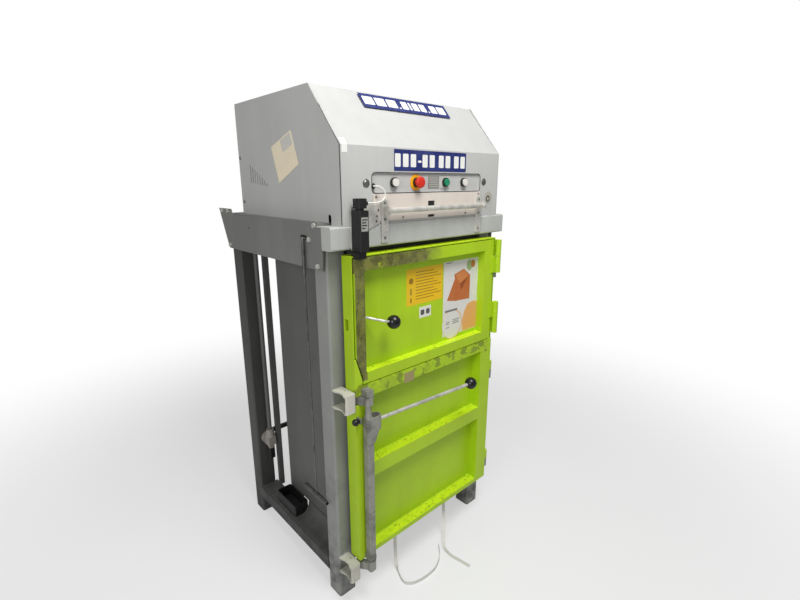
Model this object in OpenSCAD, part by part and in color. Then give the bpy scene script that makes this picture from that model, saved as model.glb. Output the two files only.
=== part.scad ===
// Recycling baler: a vertical press with a side-hung bale door, a loading door above it
// and a hydraulic cylinder under a sheet-metal hood.
// X runs along the front, Y from front to back and Z upwards. Millimetres.

/* [Frame] */
// Overall height, floor to hood top
height = 1985; // [1900:5:2100]
// Width over the four columns
frame_w = 898; // [860:2:940]
// Depth over the four columns
frame_d = 772; // [740:2:820]
// Side of a square column
column_w = 80; // [70:1:84]
// Wall of a column
column_t = 5; // [3:0.5:8]
// Outer corner radius of a column
column_r = 9; // [8.5:0.5:12]
// Plate that closes a column at the floor
foot_t = 6; // [4:1:10]
// Clear height under the side rails
ground_gap = 78; // [60:1:100]
// Height of a side rail
rail_h = 67; // [50:1:70]
// Height of the cross rails under the chamber floor
cross_h = 60; // [50:1:70]
// Gap between a side plate and the columns
plate_gap = 12; // [8:1:16]
// Height of the front beam
beam_h = 78; // [70:1:90]
// How far the front beam stands before the columns
beam_out = 59; // [50:1:62]
// Sheet of the front beam
beam_t = 4; // [3:0.5:6]
// Height of the deck's top face
deck_z = 1537; // [1520:1:1550]
// Thickness of the deck
deck_t = 12; // [10:1:16]
// Sheet of the side plates
plate_t = 5; // [4:0.5:8]
// Height of the side plates
plate_h = 161; // [150:1:165]
// How far the side plates reach behind the rear columns
plate_back = 71; // [60:1:80]

/* [Chamber] */
// Clear width of the chamber
chamber_w = 710; // [690:2:720]
// Back face of the rear wall
chamber_back = 540; // [520:1:560]
// Sheet of the chamber walls
wall_t = 5; // [4:0.5:6]
// Height of the chamber floor
floor_z = 230; // [220:1:240]
// Sheet of the chamber floor
floor_t = 6; // [5:0.5:8]
// Width of a strap channel in the floor
groove_w = 30; // [24:1:40]
// Depth of a strap channel
groove_d = 20; // [16:1:24]
// Strap channels either side of the middle
strap_x = 161; // [140:1:180]

/* [Hood] */
// Width of the hood
hood_w = 840; // [820:2:860]
// Sheet of the hood
hood_t = 2; // [1.5:0.5:3]
// Front face of the hood before the columns
hood_out = 55; // [50:1:58]
// Back face of the hood
hood_back = 687; // [670:1:700]
// Height where the slope meets the front face
slope_low = 1786; // [1760:1:1800]
// Where the slope meets the flat top
slope_back = 111; // [100:1:120]
// Louvres in each side
louvre_n = 8; // [5:1:10]
// Pitch of the louvres
louvre_pitch = 19.6; // [17:0.2:21]
// Width of a louvre slot
louvre_w = 6; // [4:0.5:8]
// Length of the longest louvre slot
louvre_l = 74; // [60:1:80]

/* [Bale door] */
// Width of the bale door
door_w = 802; // [790:1:806]
// Underside of the bale door
door_z0 = 207; // [200:1:215]
// Top of the bale door
door_z1 = 1430; // [1410:1:1440]
// Front face of the doors before the columns
door_out = 77; // [70:1:80]
// Gap between the door's back and the columns
door_gap = 20; // [18:1:24]
// Sheet of the door frame
door_t = 4; // [3:0.5:5]
// Width of the lock stile
stile_l = 60; // [58:1:64]
// Width of the hinge stile
stile_r = 75; // [66:1:84]
// Height of the rail under the loading door
rail1_h = 50; // [40:1:60]
// Top of the rail under the loading door
rail1_z = 956; // [950:1:960]
// Height of the middle rail
rail2_h = 62; // [50:1:70]
// Top of the middle rail
rail2_z = 622; // [600:1:640]
// Height of the bottom rail
rail3_h = 21; // [18:1:40]
// Depth of the recess between the rails
recess_d = 46; // [40:1:50]

/* [Loading door] */
// Lower edge of the loading door
hatch_z0 = 961; // [960:0.5:964]
// Upper edge of the loading door
hatch_z1 = 1422; // [1400:1:1424]
// Left edge of the loading door, from the middle
hatch_l = 392; // [388:0.5:394]
// Right edge of the loading door, from the middle
hatch_r = 386; // [380:0.5:388]
// Depth of the loading door
hatch_d = 40; // [34:1:42]
// Width of its lock stile and its top rail
hatch_stile = 45; // [40:1:50]
// Width of its hinge stile
hatch_stile_r = 60; // [54:1:66]
// Height of its bottom rail
hatch_low = 42; // [38:1:46]
// Sheet of the loading door
hatch_t = 3; // [2:0.5:4]
// Outer diameter of the hinge barrels
barrel_d = 26; // [22:1:28]

/* [Lock] */
// Axis of the lock bar, left of the middle
lock_x = 360; // [358:0.5:362]
// Axis of the lock bar, before the columns
lock_out = 97.5; // [97:0.5:99]
// Diameter of the lock shaft
shaft_d = 22; // [20:1:24]
// Running clearance of shafts in their bores, on the radius
fit = 0.05; // [0.02:0.01:0.1]
// Side of the square sleeve on the lock shaft
sleeve_w = 30; // [26:1:32]
// Reach of the lock cams from the shaft's axis
cam_r = 66; // [64:0.5:67]
// Turn of the lever away from the door at rest
lever_yaw = 4.5; // [3:0.5:6]
// Length from the shaft's axis to the big ball
lever_l = 542; // [500:1:600]
// Diameter of the lever rod
lever_d = 14; // [12:1:16]
// Diameter of the big balls
ball_d = 52; // [44:1:54]
// Height of the lever
lever_z = 815; // [805:1:825]
// Height of the spring catch
catch_z = 832; // [825:1:836]

/* [Controls] */
// Width of the control panel
panel_w = 580; // [560:2:600]
// Height of the control panel
panel_h = 63; // [58:1:70]
// Underside of the control panel
panel_z = 1636; // [1630:1:1645]
// Diameter of the guard bar
guard_d = 20; // [18:0.5:22]
// Length of the guard bar
guard_l = 546; // [520:1:560]
// Axis of the guard bar before the columns
guard_out = 85; // [82:1:92]
// Outer diameter of the rings round the buttons
ring_d = 34; // [32:1:36]
// Travel of the push buttons
push = 4; // [3:0.5:5]

/* [Press] */
// Thickness of the press plate with its ribs
platen_h = 70; // [60:1:80]
// Clear gap round the press plate
platen_gap = 12; // [11:1:20]
// Underside of the press plate at rest
platen_z = 1390; // [1380:1:1400]
// Bore of the barrel
barrel_bore = 110; // [106:1:116]
// Diameter of the middle stage
stage_d = 100; // [96:1:102]
// Diameter of the rod
rod_d = 70; // [60:1:74]

/* [Straps] */
// Width of the strap
strap_w = 15; // [12:1:16]
// Diameter of a full strap roll
roll_d = 200; // [160:5:220]
// Width of a strap roll
roll_w = 50; // [40:1:60]
// Diameter of the roll axle
axle_d = 25; // [20:1:30]
// Height of the roll axle
axle_z = 420; // [380:5:460]

/* [Hidden] */
$fn = 48;
grey = "lightgrey";
lime = "yellowgreen";
steel = "silver";
black = "#202020";
white = "white";

// Clearance between pieces that meet face to face.
gap = 0.3;
half_w = frame_w / 2;
column_top = deck_z - deck_t;
beam_top = column_top + beam_t;
beam_z = beam_top - beam_h;
beam_back = 20;
plate_x = half_w + plate_gap + plate_t;
beam_w = 2 * (plate_x + 2);
plate_y1 = frame_d + plate_back;
plate_top = deck_z + 4;
plate_low = plate_top - plate_h;
tab_top = deck_z + 20;
cross_z = floor_z - groove_d - floor_t;
cross_t = 4;
cross_r = 8;
rail_top = ground_gap + rail_h;
tray_t = 3;
wall_x = chamber_w / 2;
chamber_front = -15;
front_y = -door_out;
panel_y = front_y + recess_d;
hood_x = hood_w / 2;
hood_y0 = -hood_out;
door_x = door_w / 2;
inner_l = -door_x + stile_l;
inner_r = door_x - stile_r;
rod_x = plate_x + 12;
rod_y = 97;
tee_d = 18;
lock_y = -lock_out;
lever_front = lock_out + lever_l * sin(lever_yaw) + ball_d / 2;
bolt_h = 7;
mid_x = (plate_x + bolt_h - rod_x - tee_d / 2) / 2;
mid_y = (plate_y1 - lever_front) / 2;
press_y = (chamber_front + chamber_back - wall_t) / 2;
hinge_x = door_x + 16;
hinge_y = -62;
knuckle_d = 22;
hinge_pin_d = 12;
hatch_hinge_x = door_x + 6;
hatch_hinge_y = front_y - 10;
hinge_zs = [300, 789, 1290];
knuckle_h = 88;
hatch_hinge_zs = [1061, 1347];
barrel_h = 74;
upper_keeper = 868;
lower_keeper = 132;
keeper_h = 72;
keeper_x = half_w - 45;
keeper_d = 86;
keeper_t = 6;
cam_angle = 126;
cam_w = 20;
cam_h = 32;
lower_cam = 158;
upper_cam = 887;
hub_w = 32;
yoke_z = lever_z - 35;
yoke_h = 56;
catch_y = -91;
catch_d = 10;
roll_y = frame_d - column_w / 2;
strap_r = strap_w / 2;
// The control panel, its face and the places of its buttons.
panel_mid = 2;
panel_in = 3;
panel_face = hood_y0 + hood_t + panel_in;
button_z = panel_z + 33;
side_button = 189;
stop_x = -78;
start_x = 80;
ring_h = 10;
ring_bore = ring_d - 6;
stem_bore = 16;
legend_t = 2;
guard_mid = 23;
guard_z = 1575;
bracket_w = 32;
bracket_z = beam_z + 12;
bracket_t = 5;
// The switch box beside the loading door.
switch_x = -door_x + 14;
switch_y = front_y - 35;
switch_z = hatch_z1 + 25;
// The latch of the loading door: pivot, rod and bends.
latch_x = hatch_l - 26;
latch_y = front_y + 20;
latch_z = 1213;
latch_tilt = 15.8;
latch_d = 9;
latch_bend = 45;
latch_r = 16;
latch_run = [40, 47.6, 30];
latch_out = 2 * latch_r * (1 - cos(latch_bend)) + latch_run[1] * sin(latch_bend);
latch_reach = latch_run[0] + latch_run[2] + 2 * latch_r * sin(latch_bend)
    + latch_run[1] * cos(latch_bend);
window_x = -hatch_l + hatch_stile;
window_w = hatch_l + hatch_r - hatch_stile - hatch_stile_r;
window_z = hatch_z0 + hatch_low;
window_h = hatch_z1 - hatch_z0 - hatch_low - hatch_stile;
// Fixtures inside the left side.
fixture_y = frame_d - column_w - 40;
fixture_x = -half_w + 51;
socket_z = 440;
barrel_top = height - 20;
stage_z = deck_z - 32;

// Moves a piece from the columns' front plane to the part's own origin.
module placed() {
    translate([-mid_x, -mid_y, 0]) children();
}

// A rectangle with round corners, its lower left corner at the origin.
module round_rect(w, h, r) {
    translate([r, 0]) square([w - 2 * r, h]);
    translate([0, r]) square([w, h - 2 * r]);
    for (x = [r, w - r], y = [r, h - r]) translate([x, y]) circle(r);
}

// Extrudes a profile drawn in Y and Z along X.
module along_x(x, length) {
    translate([x, 0, 0]) rotate([90, 0, 90]) linear_extrude(length) children();
}

// Extrudes a profile drawn in X and Z along Y.
module along_y(y, length) {
    translate([0, y + length, 0]) rotate([90, 0, 0]) linear_extrude(length) children();
}

module rod_x_axis(d, length) {
    rotate([0, 90, 0]) cylinder(d = d, h = length);
}

module rod_y_axis(d, length) {
    rotate([-90, 0, 0]) cylinder(d = d, h = length);
}

// A square column, closed by its foot plate.
module column(x, y) {
    translate([x, y, 0]) difference() {
        linear_extrude(column_top) round_rect(column_w, column_w, column_r);
        translate([column_t, column_t, foot_t])
            linear_extrude(column_top)
            round_rect(column_w - 2 * column_t, column_w - 2 * column_t, column_r - column_t);
    }
}

module column_pair(y) {
    color(grey) placed() {
        column(-half_w, y);
        column(half_w - column_w, y);
    }
}

module front_columns() column_pair(0);
module rear_columns() column_pair(frame_d - column_w);

// Rolled rails between the front and rear columns.
module side_rails() {
    t = 4;
    r = 12;
    color(grey) placed() for (x = [-half_w, half_w - column_w])
        along_y(column_w, frame_d - 2 * column_w) difference() {
            translate([x, ground_gap]) round_rect(column_w, rail_h, r);
            translate([x + t, ground_gap + t]) round_rect(column_w - 2 * t, rail_h - 2 * t, r - t);
        }
}

// A closed tube under the floor.
module cross_rail(y, half) {
    inner = cross_h - 2 * cross_t;
    difference() {
        along_x(-half, 2 * half) translate([y, cross_z - cross_h])
            round_rect(cross_h, cross_h, cross_r);
        along_x(-half + cross_t, 2 * (half - cross_t)) translate([y + cross_t, cross_z - cross_h + cross_t])
            round_rect(inner, inner, cross_r - cross_t);
    }
}

module cross_rails() {
    color(grey) placed() {
        cross_rail(0, half_w - column_w);
        cross_rail(chamber_back - cross_h, wall_x + wall_t);
    }
}

// Sheet on the left rail that curves up to the chamber wall.
module tray_left() {
    r = 60;
    ramp = 290;
    x0 = -half_w + 9;
    x1 = -wall_x - wall_t;
    color(grey) placed() {
        along_y(column_w, frame_d - 2 * column_w)
            translate([x0, rail_top]) square([x1 - 0.5 - x0, tray_t]);
        along_y(column_w, ramp) intersection() {
            difference() {
                translate([x1 - r, rail_top + r]) circle(r, $fn = 96);
                translate([x1 - r, rail_top + r]) circle(r - tray_t, $fn = 96);
            }
            translate([x1 - r, rail_top]) square([r - 0.5, r + 1]);
        }
    }
}

// Floor of three plates between the walls and the two strap channels.
module floor_plates() {
    edge = groove_w / 2 + floor_t;
    spans = [[-wall_x, -strap_x - edge], [-strap_x + edge, strap_x - edge], [strap_x + edge, wall_x]];
    color(grey) placed() for (s = spans)
        translate([s[0], 0, floor_z - floor_t]) cube([s[1] - s[0], chamber_back - wall_t, floor_t]);
}

// Channels in the floor for the straps, open at both ends.
module strap_channels() {
    edge = groove_w / 2 + floor_t;
    color(grey) placed() for (x = [-strap_x, strap_x])
        along_y(0, chamber_back - wall_t) difference() {
            translate([x - edge, cross_z]) square([2 * edge, groove_d + floor_t]);
            translate([x - groove_w / 2, cross_z + floor_t]) square([groove_w, groove_d + 1]);
        }
}

// Side wall, notched for the front beam.
module chamber_side(x) {
    y1 = -5 + gap;
    color(grey) placed() along_x(x, wall_t) polygon([
        [chamber_front, cross_z], [chamber_back, cross_z], [chamber_back, column_top],
        [y1, column_top], [y1, beam_z - gap], [chamber_front, beam_z - gap]
    ]);
}

module wall_left() chamber_side(-wall_x - wall_t);
module wall_right() chamber_side(wall_x);

// Rear wall, above the ends of the strap channels.
module wall_rear() {
    color(grey) placed() translate([-wall_x, chamber_back - wall_t, floor_z])
        cube([chamber_w, wall_t, column_top - floor_z]);
}

// Folded beam across the front, closed by a cheek at each end.
module front_beam() {
    fold_r = 7;
    depth = beam_out - 5;
    color(grey) placed() union() {
        along_x(-beam_w / 2, beam_w) difference() {
            union() {
                translate([-beam_out, beam_z]) round_rect(depth, beam_h, fold_r);
                translate([-beam_out / 2, beam_top - beam_t]) square([beam_out / 2 + beam_back, beam_t]);
            }
            translate([-beam_out + beam_t, beam_z + beam_t])
                round_rect(beam_out, beam_h - 2 * beam_t, fold_r - beam_t);
        }
        for (x = [-beam_w / 2, beam_w / 2 - beam_t])
            along_x(x, beam_t) translate([-beam_out + 1, beam_z + 1])
                round_rect(depth - 1, beam_h - 2, fold_r - 1);
    }
}

// Side plate that ties front and rear columns under the hood.
module side_plate(x, spacer_x) {
    seat = column_top - gap;
    outline = [
        [2, plate_low], [-4, beam_z - 10], [-4, seat], [beam_back + gap, seat],
        [beam_back + gap, plate_top], [hood_back - 127, plate_top], [hood_back - 111, deck_z - 4],
        [hood_back + 18, deck_z - 4], [hood_back + 29, tab_top], [plate_y1, tab_top],
        [frame_d - 5, plate_low + 10], [frame_d - 16, plate_low + 2]
    ];
    color(grey) placed() {
        difference() {
            along_x(x, plate_t) polygon(outline);
            along_x(x - 1, plate_t + 2) translate([rod_y - 9, plate_top - 63]) round_rect(44, 15, 7);
            translate([x - 1, 545, plate_top - 57]) rotate([0, 90, 0]) cylinder(d = 9, h = plate_t + 2);
        }
        for (y = [8, frame_d - column_w + 8])
            translate([spacer_x, y, plate_low + 12])
                cube([plate_gap, column_w - 16, plate_h - 41]);
    }
}

module side_plates() {
    side_plate(-plate_x, -plate_x + plate_t);
    side_plate(plate_x - plate_t, half_w);
}

// Deck that carries the cylinder and the hood.
module top_deck() {
    w = 2 * (plate_x - plate_t) - 1;
    y0 = beam_back + 0.5;
    color(grey) placed() difference() {
        translate([-w / 2, y0, column_top]) cube([w, frame_d - y0, deck_t]);
        translate([0, press_y, column_top - 1]) cylinder(d = stage_d + 8, h = deck_t + 2, $fn = 96);
    }
}

// Outline of the hood seen from its side.
hood_outline = [
    [hood_y0, beam_top], [hood_y0, slope_low], [slope_back, height],
    [hood_back, height], [hood_back, deck_z], [beam_back, deck_z], [beam_back, beam_top]
];

// Hood: sides, top and back of one folded sheet, open at the front and below.
module hood() {
    slot_y = hood_back - 104;
    slot_z = deck_z + 130;
    hole_d = 18;
    hole_y = 12;
    roof_y = slope_back + 12;
    color(grey) placed() difference() {
        along_x(-hood_x, hood_w) polygon(hood_outline);
        along_x(-hood_x + hood_t, hood_w - 2 * hood_t)
            polygon([
                [hood_y0 - 9, beam_top - 1], [hood_y0 - 9, height + 9], [roof_y, height + 9],
                [roof_y, height - hood_t], [hood_back - hood_t, height - hood_t],
                [hood_back - hood_t, beam_top - 1]
            ]);
        for (i = [0:louvre_n - 1])
            along_x(-hood_x - 1, hood_w + 2)
                translate([slot_y - i * louvre_pitch - louvre_w / 2, slot_z - 2 * i])
                round_rect(louvre_w, louvre_l * (1 - i / (louvre_n + 0.5)), louvre_w / 2 - 0.01);
        along_x(-hood_x - 1, hood_t + 2) {
            translate([hole_y - hole_d / 2, beam_top - 1]) square([hole_d, 28]);
            translate([hole_y, beam_top + 27]) circle(d = hole_d);
        }
    }
}

// Front and slope of the hood, one folded sheet between the sides, with the panel's window.
module hood_front() {
    w = hood_w - 2 * hood_t - 4;
    lip = slope_back + 11;
    color(grey) placed() difference() {
        along_x(-w / 2, w) polygon([
            [hood_y0, beam_top], [hood_y0, slope_low], [lip - 3, height],
            [lip, height], [lip, height - hood_t],
            [lip - 2, height - hood_t], [hood_y0 + hood_t, slope_low - 1],
            [hood_y0 + hood_t, beam_top]
        ]);
        along_y(hood_y0 - 1, hood_t + 2) translate([panel_mid - panel_w / 2, panel_z])
            round_rect(panel_w, panel_h, 10);
    }
}

// Sunk panel that carries the buttons, a shallow tray behind the window.
module control_panel() {
    rim = 6;
    back = panel_in + 3;
    color(grey) placed() difference() {
        along_y(hood_y0 + hood_t, back) translate([panel_mid - panel_w / 2 - rim, panel_z - rim])
            round_rect(panel_w + 2 * rim, panel_h + 2 * rim, 12);
        along_y(hood_y0 + hood_t - 1, panel_in + 1) translate([panel_mid - panel_w / 2, panel_z])
            round_rect(panel_w, panel_h, 10);
        for (x = [panel_mid - 1 - side_button, stop_x, start_x, panel_mid - 1 + side_button])
            translate([x, panel_face - 1, button_z]) rod_y_axis(stem_bore, 5);
    }
}

// Screwed cover under the panel, flush with the beam, with two slots for the cables.
module lower_cover() {
    t = beam_out - hood_out;
    z0 = deck_z + 1.5;
    color(grey) placed() difference() {
        along_y(hood_y0 - t, t) translate([panel_mid - panel_w / 2, z0])
            round_rect(panel_w, panel_z - 5 - z0, 3);
        for (s = [[z0 + 2, 10], [z0 + 36, 27]])
            along_y(hood_y0 - t - 1, t + 2) translate([-21, s[0]]) round_rect(37, s[1], 3);
    }
}

// Rings that guide the four buttons.
module button_rings() {
    color(black) placed() for (x = [panel_mid - 1 - side_button, stop_x, start_x, panel_mid - 1 + side_button])
        difference() {
            translate([x, panel_face - ring_h, button_z]) rod_y_axis(ring_d, ring_h);
            translate([x, panel_face - ring_h - 1, button_z]) rod_y_axis(ring_bore, ring_h + 2);
        }
}

// A disc round the emergency stop and a plate round the start button.
module legend_plates() {
    y = panel_face - legend_t;
    w = 58;
    h = 46;
    color("gold") placed() {
        difference() {
            translate([stop_x, y, button_z]) rod_y_axis(w, legend_t);
            translate([stop_x, y - 1, button_z]) rod_y_axis(ring_d + 2 * gap, legend_t + 2);
        }
        difference() {
            along_y(y, legend_t) translate([start_x - w / 2, button_z - h / 2]) round_rect(w, h, 3);
            translate([start_x, y - 1, button_z]) rod_y_axis(ring_d + 2 * gap, legend_t + 2);
        }
    }
}

// Push button: cap in its ring and stem through the panel.
module push_button(x) {
    proud = 5;
    cap_l = proud + ring_h - push - 0.4;
    placed() {
        translate([x, panel_face - ring_h - proud, button_z]) rod_y_axis(ring_bore - 2 * gap, cap_l);
        translate([x, panel_face - push - 0.4, button_z])
            rod_y_axis(stem_bore - 2 * gap, push + 0.4 + 15);
    }
}

module push_left() color(white) push_button(panel_mid - 1 - side_button);
module push_right() color(white) push_button(panel_mid - 1 + side_button);
module start_button() color("green") push_button(start_x);

// Mushroom head of the emergency stop with its neck and stem.
module estop_button() {
    stem = stem_bore / 2 - gap;
    neck = ring_bore / 2 - gap;
    low = push + 0.4;
    color("red") placed() translate([stop_x, panel_face, button_z])
        rotate([90, 0, 0]) rotate_extrude($fn = 64)
        polygon([
            [0, -15], [stem, -15], [stem, low], [neck, low], [neck, 17], [19, 20],
            [20.5, 22], [20.5, 27], [18.5, 30.5], [12, 32.5], [0, 33]
        ]);
}

// Bar before the controls.
module guard_bar() {
    color(steel) placed()
        translate([guard_mid - guard_l / 2, -guard_out, guard_z]) rod_x_axis(guard_d, guard_l);
}

// Flat bracket on the beam and the cover, with an eye for the guard bar.
module guard_bracket(x) {
    eye_x = x + 10;
    eye_t = 6;
    difference() {
        union() {
            along_y(-beam_out - bracket_t, bracket_t) translate([x, bracket_z])
                round_rect(bracket_w, guard_z + 37 - bracket_z, 4);
            translate([eye_x, -guard_out, guard_z]) rod_x_axis(guard_d + 12, eye_t);
            translate([eye_x, -guard_out, guard_z - 12])
                cube([eye_t, guard_out - beam_out - bracket_t, 24]);
        }
        translate([eye_x - 1, -guard_out, guard_z]) rod_x_axis(guard_d + 2 * fit, eye_t + 2);
    }
}

module guard_brackets() {
    color(steel) placed() {
        guard_bracket(guard_mid - guard_l / 2 - 7);
        guard_bracket(guard_mid + guard_l / 2 - 30);
    }
}

// Bent plate that carries the door switch on the beam and the cover.
module switch_bracket() {
    x1 = guard_mid - guard_l / 2 - 12;
    color(steel) placed() along_y(-beam_out - 3, 3) polygon([
        [switch_x, switch_z + 2], [switch_x, switch_z + 145], [x1, switch_z + 149],
        [x1, switch_z + 85], [x1 - 50, switch_z + 67], [x1 - 68, switch_z + 2]
    ]);
}

// Door switch: box, neck and plug with its cable gland.
module door_switch() {
    w = 37;
    d = 50;
    h = 134;
    plug = switch_z + h + 7;
    color(black) placed() {
        translate([switch_x, switch_y, switch_z]) linear_extrude(h) round_rect(w, d - gap, 4);
        translate([switch_x + 7, switch_y + 12, switch_z + h]) linear_extrude(7) round_rect(20, 24, 3);
        translate([switch_x + 1, switch_y + 6, plug]) linear_extrude(31) round_rect(w - 4, 36, 4);
        translate([switch_x + w - 4, switch_y + 25, plug + 15]) rod_x_axis(16, 14);
    }
}

// Cable from the panel's end to the switch, held at both ends.
cable_path = [
    [-284, -50.2, 1657], [-284, -58, 1657], [-281, -68, 1657], [-274, -76, 1655], [-265, -81, 1649],
    [-258, -84, 1639], [-257, -85, 1628], [-263, -86, 1616], [-274, -87, 1608], [-289, -87, 1604],
    [-305, -87, 1603], [-322, -87, 1603], [-339.8, -87, 1603]
];

module switch_cable() color(white) placed() tube(cable_path, 3, [0, 1, 1]);

// Channels on the left column that take the cams of the lock.
module keeper(z) {
    w = half_w - keeper_x;
    hollow = 55;
    translate([-half_w, -keeper_d, z]) difference() {
        linear_extrude(keeper_h) union() {
            round_rect(w, keeper_d, 9);
            translate([0, keeper_d - 12]) square([w, 12]);
        }
        translate([-1, keeper_t, keeper_t])
            cube([w + 2, keeper_d, keeper_h - 2 * keeper_t]);
        translate([8 - hollow, keeper_d / 2, -1]) cylinder(r = hollow, h = keeper_h + 2, $fn = 128);
        translate([w - 14, keeper_d - 37, keeper_h - keeper_t - 1]) cylinder(d = 8, h = keeper_t + 2);
    }
}

module keepers() {
    color(grey) placed() {
        keeper(upper_keeper);
        keeper(lower_keeper);
    }
}

// Rod for threading straps, hung in the left side plate, with a tube as handle.
module threading_rod() {
    hook_z = plate_top - 58.7;
    thick_z = hook_z - 125;
    tee_z = 459;
    color(steel) placed() {
        translate([-rod_x, rod_y, tee_z]) cylinder(d = 6, h = thick_z + 4 - tee_z);
        translate([-rod_x, rod_y, thick_z]) cylinder(d = 12, h = hook_z - thick_z);
        translate([-rod_x, rod_y, hook_z]) sphere(d = 12);
        translate([-rod_x, rod_y, hook_z]) rod_x_axis(8, 20);
        difference() {
            translate([-rod_x, rod_y - 75, tee_z]) rod_y_axis(tee_d, 158);
            translate([-rod_x, rod_y - 76, tee_z]) rod_y_axis(tee_d - 5, 60);
        }
    }
}

// Round and square conduit up the rear left column.
module conduits() {
    foot = rail_top + tray_t;
    color(grey) placed() {
        translate([fixture_x, fixture_y, socket_z + 39])
            cylinder(d = 20, h = column_top - socket_z - 39);
        translate([fixture_x + 30, fixture_y - 12, foot]) cube([24, 20, column_top - foot]);
    }
}

// Inlet socket on the rear left column.
module power_inlet() {
    color(white) placed() translate([fixture_x, fixture_y, socket_z]) {
        cylinder(d1 = 50, d2 = 34, h = 39);
        translate([-22, -22, -42]) linear_extrude(42) round_rect(44, 44, 5);
        translate([-14, -14, -119]) linear_extrude(77) round_rect(28, 28, 5);
        translate([0, 20, -20]) rod_y_axis(60, 20);
    }
}

// Open box for strap buckles on the tray.
module buckle_box() {
    w = 72;
    l = 169;
    t = 2;
    color(black) placed() translate([-wall_x - wall_t - w - 2, 376, rail_top + tray_t]) difference() {
        linear_extrude(55) round_rect(w, l, 8);
        translate([t, t, t]) linear_extrude(55) round_rect(w - 2 * t, l - 2 * t, 8 - t);
    }
}

// Barrel of the press cylinder with its flange, gland and cap.
module cylinder_barrel() {
    guide_l = 41;
    cap_t = 14;
    color(steel) placed() translate([0, press_y, deck_z]) difference() {
        union() {
            cylinder(d = 200, h = 20, $fn = 96);
            cylinder(d = barrel_bore + 20, h = barrel_top - deck_z, $fn = 96);
        }
        translate([0, 0, -1]) cylinder(d = stage_d + 2 * fit, h = guide_l + 2, $fn = 96);
        translate([0, 0, guide_l])
            cylinder(d = barrel_bore, h = barrel_top - deck_z - guide_l - cap_t, $fn = 96);
    }
}

// Oil tank with the motor on its lid.
module power_pack() {
    tank_t = 3;
    tank = [270, hood_back - 447, 200];
    motor_h = 220;
    color(black) placed() translate([-hood_x + 40, 420, deck_z]) difference() {
        linear_extrude(tank[2]) round_rect(tank[0], tank[1], 12);
        translate([tank_t, tank_t, tank_t])
            linear_extrude(tank[2] - 2 * tank_t)
            round_rect(tank[0] - 2 * tank_t, tank[1] - 2 * tank_t, 12 - tank_t);
    }
    color("dimgray") placed()
        translate([-hood_x + 40 + tank[0] / 2, 420 + tank[1] / 2, deck_z + tank[2]]) difference() {
            union() {
                cylinder(d = 160, h = 12);
                cylinder(d = 140, h = motor_h);
            }
            translate([0, 0, 20]) cylinder(d = 100, h = motor_h - 40);
        }
}

// Axle of the strap rolls, in a cup on each rear column.
module strap_axle() {
    w = frame_w - 2 * column_w;
    color(steel) placed() translate([-w / 2, roll_y, axle_z]) {
        rod_x_axis(axle_d, w);
        for (x = [0, w - 10]) translate([x, 0, 0]) rod_x_axis(axle_d + 16, 10);
    }
}

module strap_roll(x) {
    color(white) placed() translate([x - roll_w / 2, roll_y, axle_z]) difference() {
        rod_x_axis(roll_d, roll_w);
        translate([-1, 0, 0]) rod_x_axis(axle_d + 2 * fit, roll_w + 2);
    }
}

module strap_roll_left() strap_roll(-strap_x);
module strap_roll_right() strap_roll(strap_x);

// Bolt heads on the side plates.
module bolts() {
    places = [
        [frame_d + 36, tab_top - 10], [frame_d - 27, tab_top - 10], [frame_d - 24, plate_low + 18],
        [71, plate_top - 61], [36, plate_top - 11], [23, plate_low + 13]
    ];
    color(steel) placed() for (p = places, x = [-plate_x - bolt_h, plate_x])
        translate([x, p[0], p[1]]) rotate([0, 90, 0]) cylinder(d = 18, h = bolt_h, $fn = 6);
}

// Fixed knuckles on the right column, each with its pin.
module hinge_posts() {
    h = knuckle_h / 2;
    color(grey) placed() for (z = hinge_zs) translate([hinge_x, hinge_y, z]) {
        difference() {
            union() {
                translate([0, 0, -h]) cylinder(d = knuckle_d, h = h);
                translate([-10, 0, -h]) cube([20, -hinge_y, h - 1]);
            }
            translate([0, 0, -2 * h]) cylinder(d = hinge_pin_d, h = 4 * h);
        }
        translate([0, 0, -h]) cylinder(d = hinge_pin_d, h = 2 * h - 4);
    }
}

// A closed box stile of the bale door.
module stile(x, w) {
    depth = door_out - door_gap;
    h = rail1_z - door_z0;
    translate([x, front_y, door_z0]) difference() {
        cube([w, depth, h]);
        translate([door_t, door_t, door_t]) cube([w - 2 * door_t, depth - 2 * door_t, h - 2 * door_t]);
    }
}

// Welded lower frame of the bale door: stiles and rails.
module door_frame() {
    color(lime) placed() {
        difference() {
            union() {
                stile(-door_x, stile_l);
                stile(inner_r, stile_r);
            }
            translate([-door_x - 1, front_y - 1, upper_cam - 2])
                cube([stile_l - 5, recess_d + 1, cam_h + 4]);
        }
        for (r = [[rail1_z, rail1_h], [rail2_z, rail2_h], [door_z0 + rail3_h, rail3_h]])
            along_y(front_y, recess_d) translate([inner_l, r[0] - r[1]])
                square([inner_r - inner_l, r[1]]);
    }
}

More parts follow.
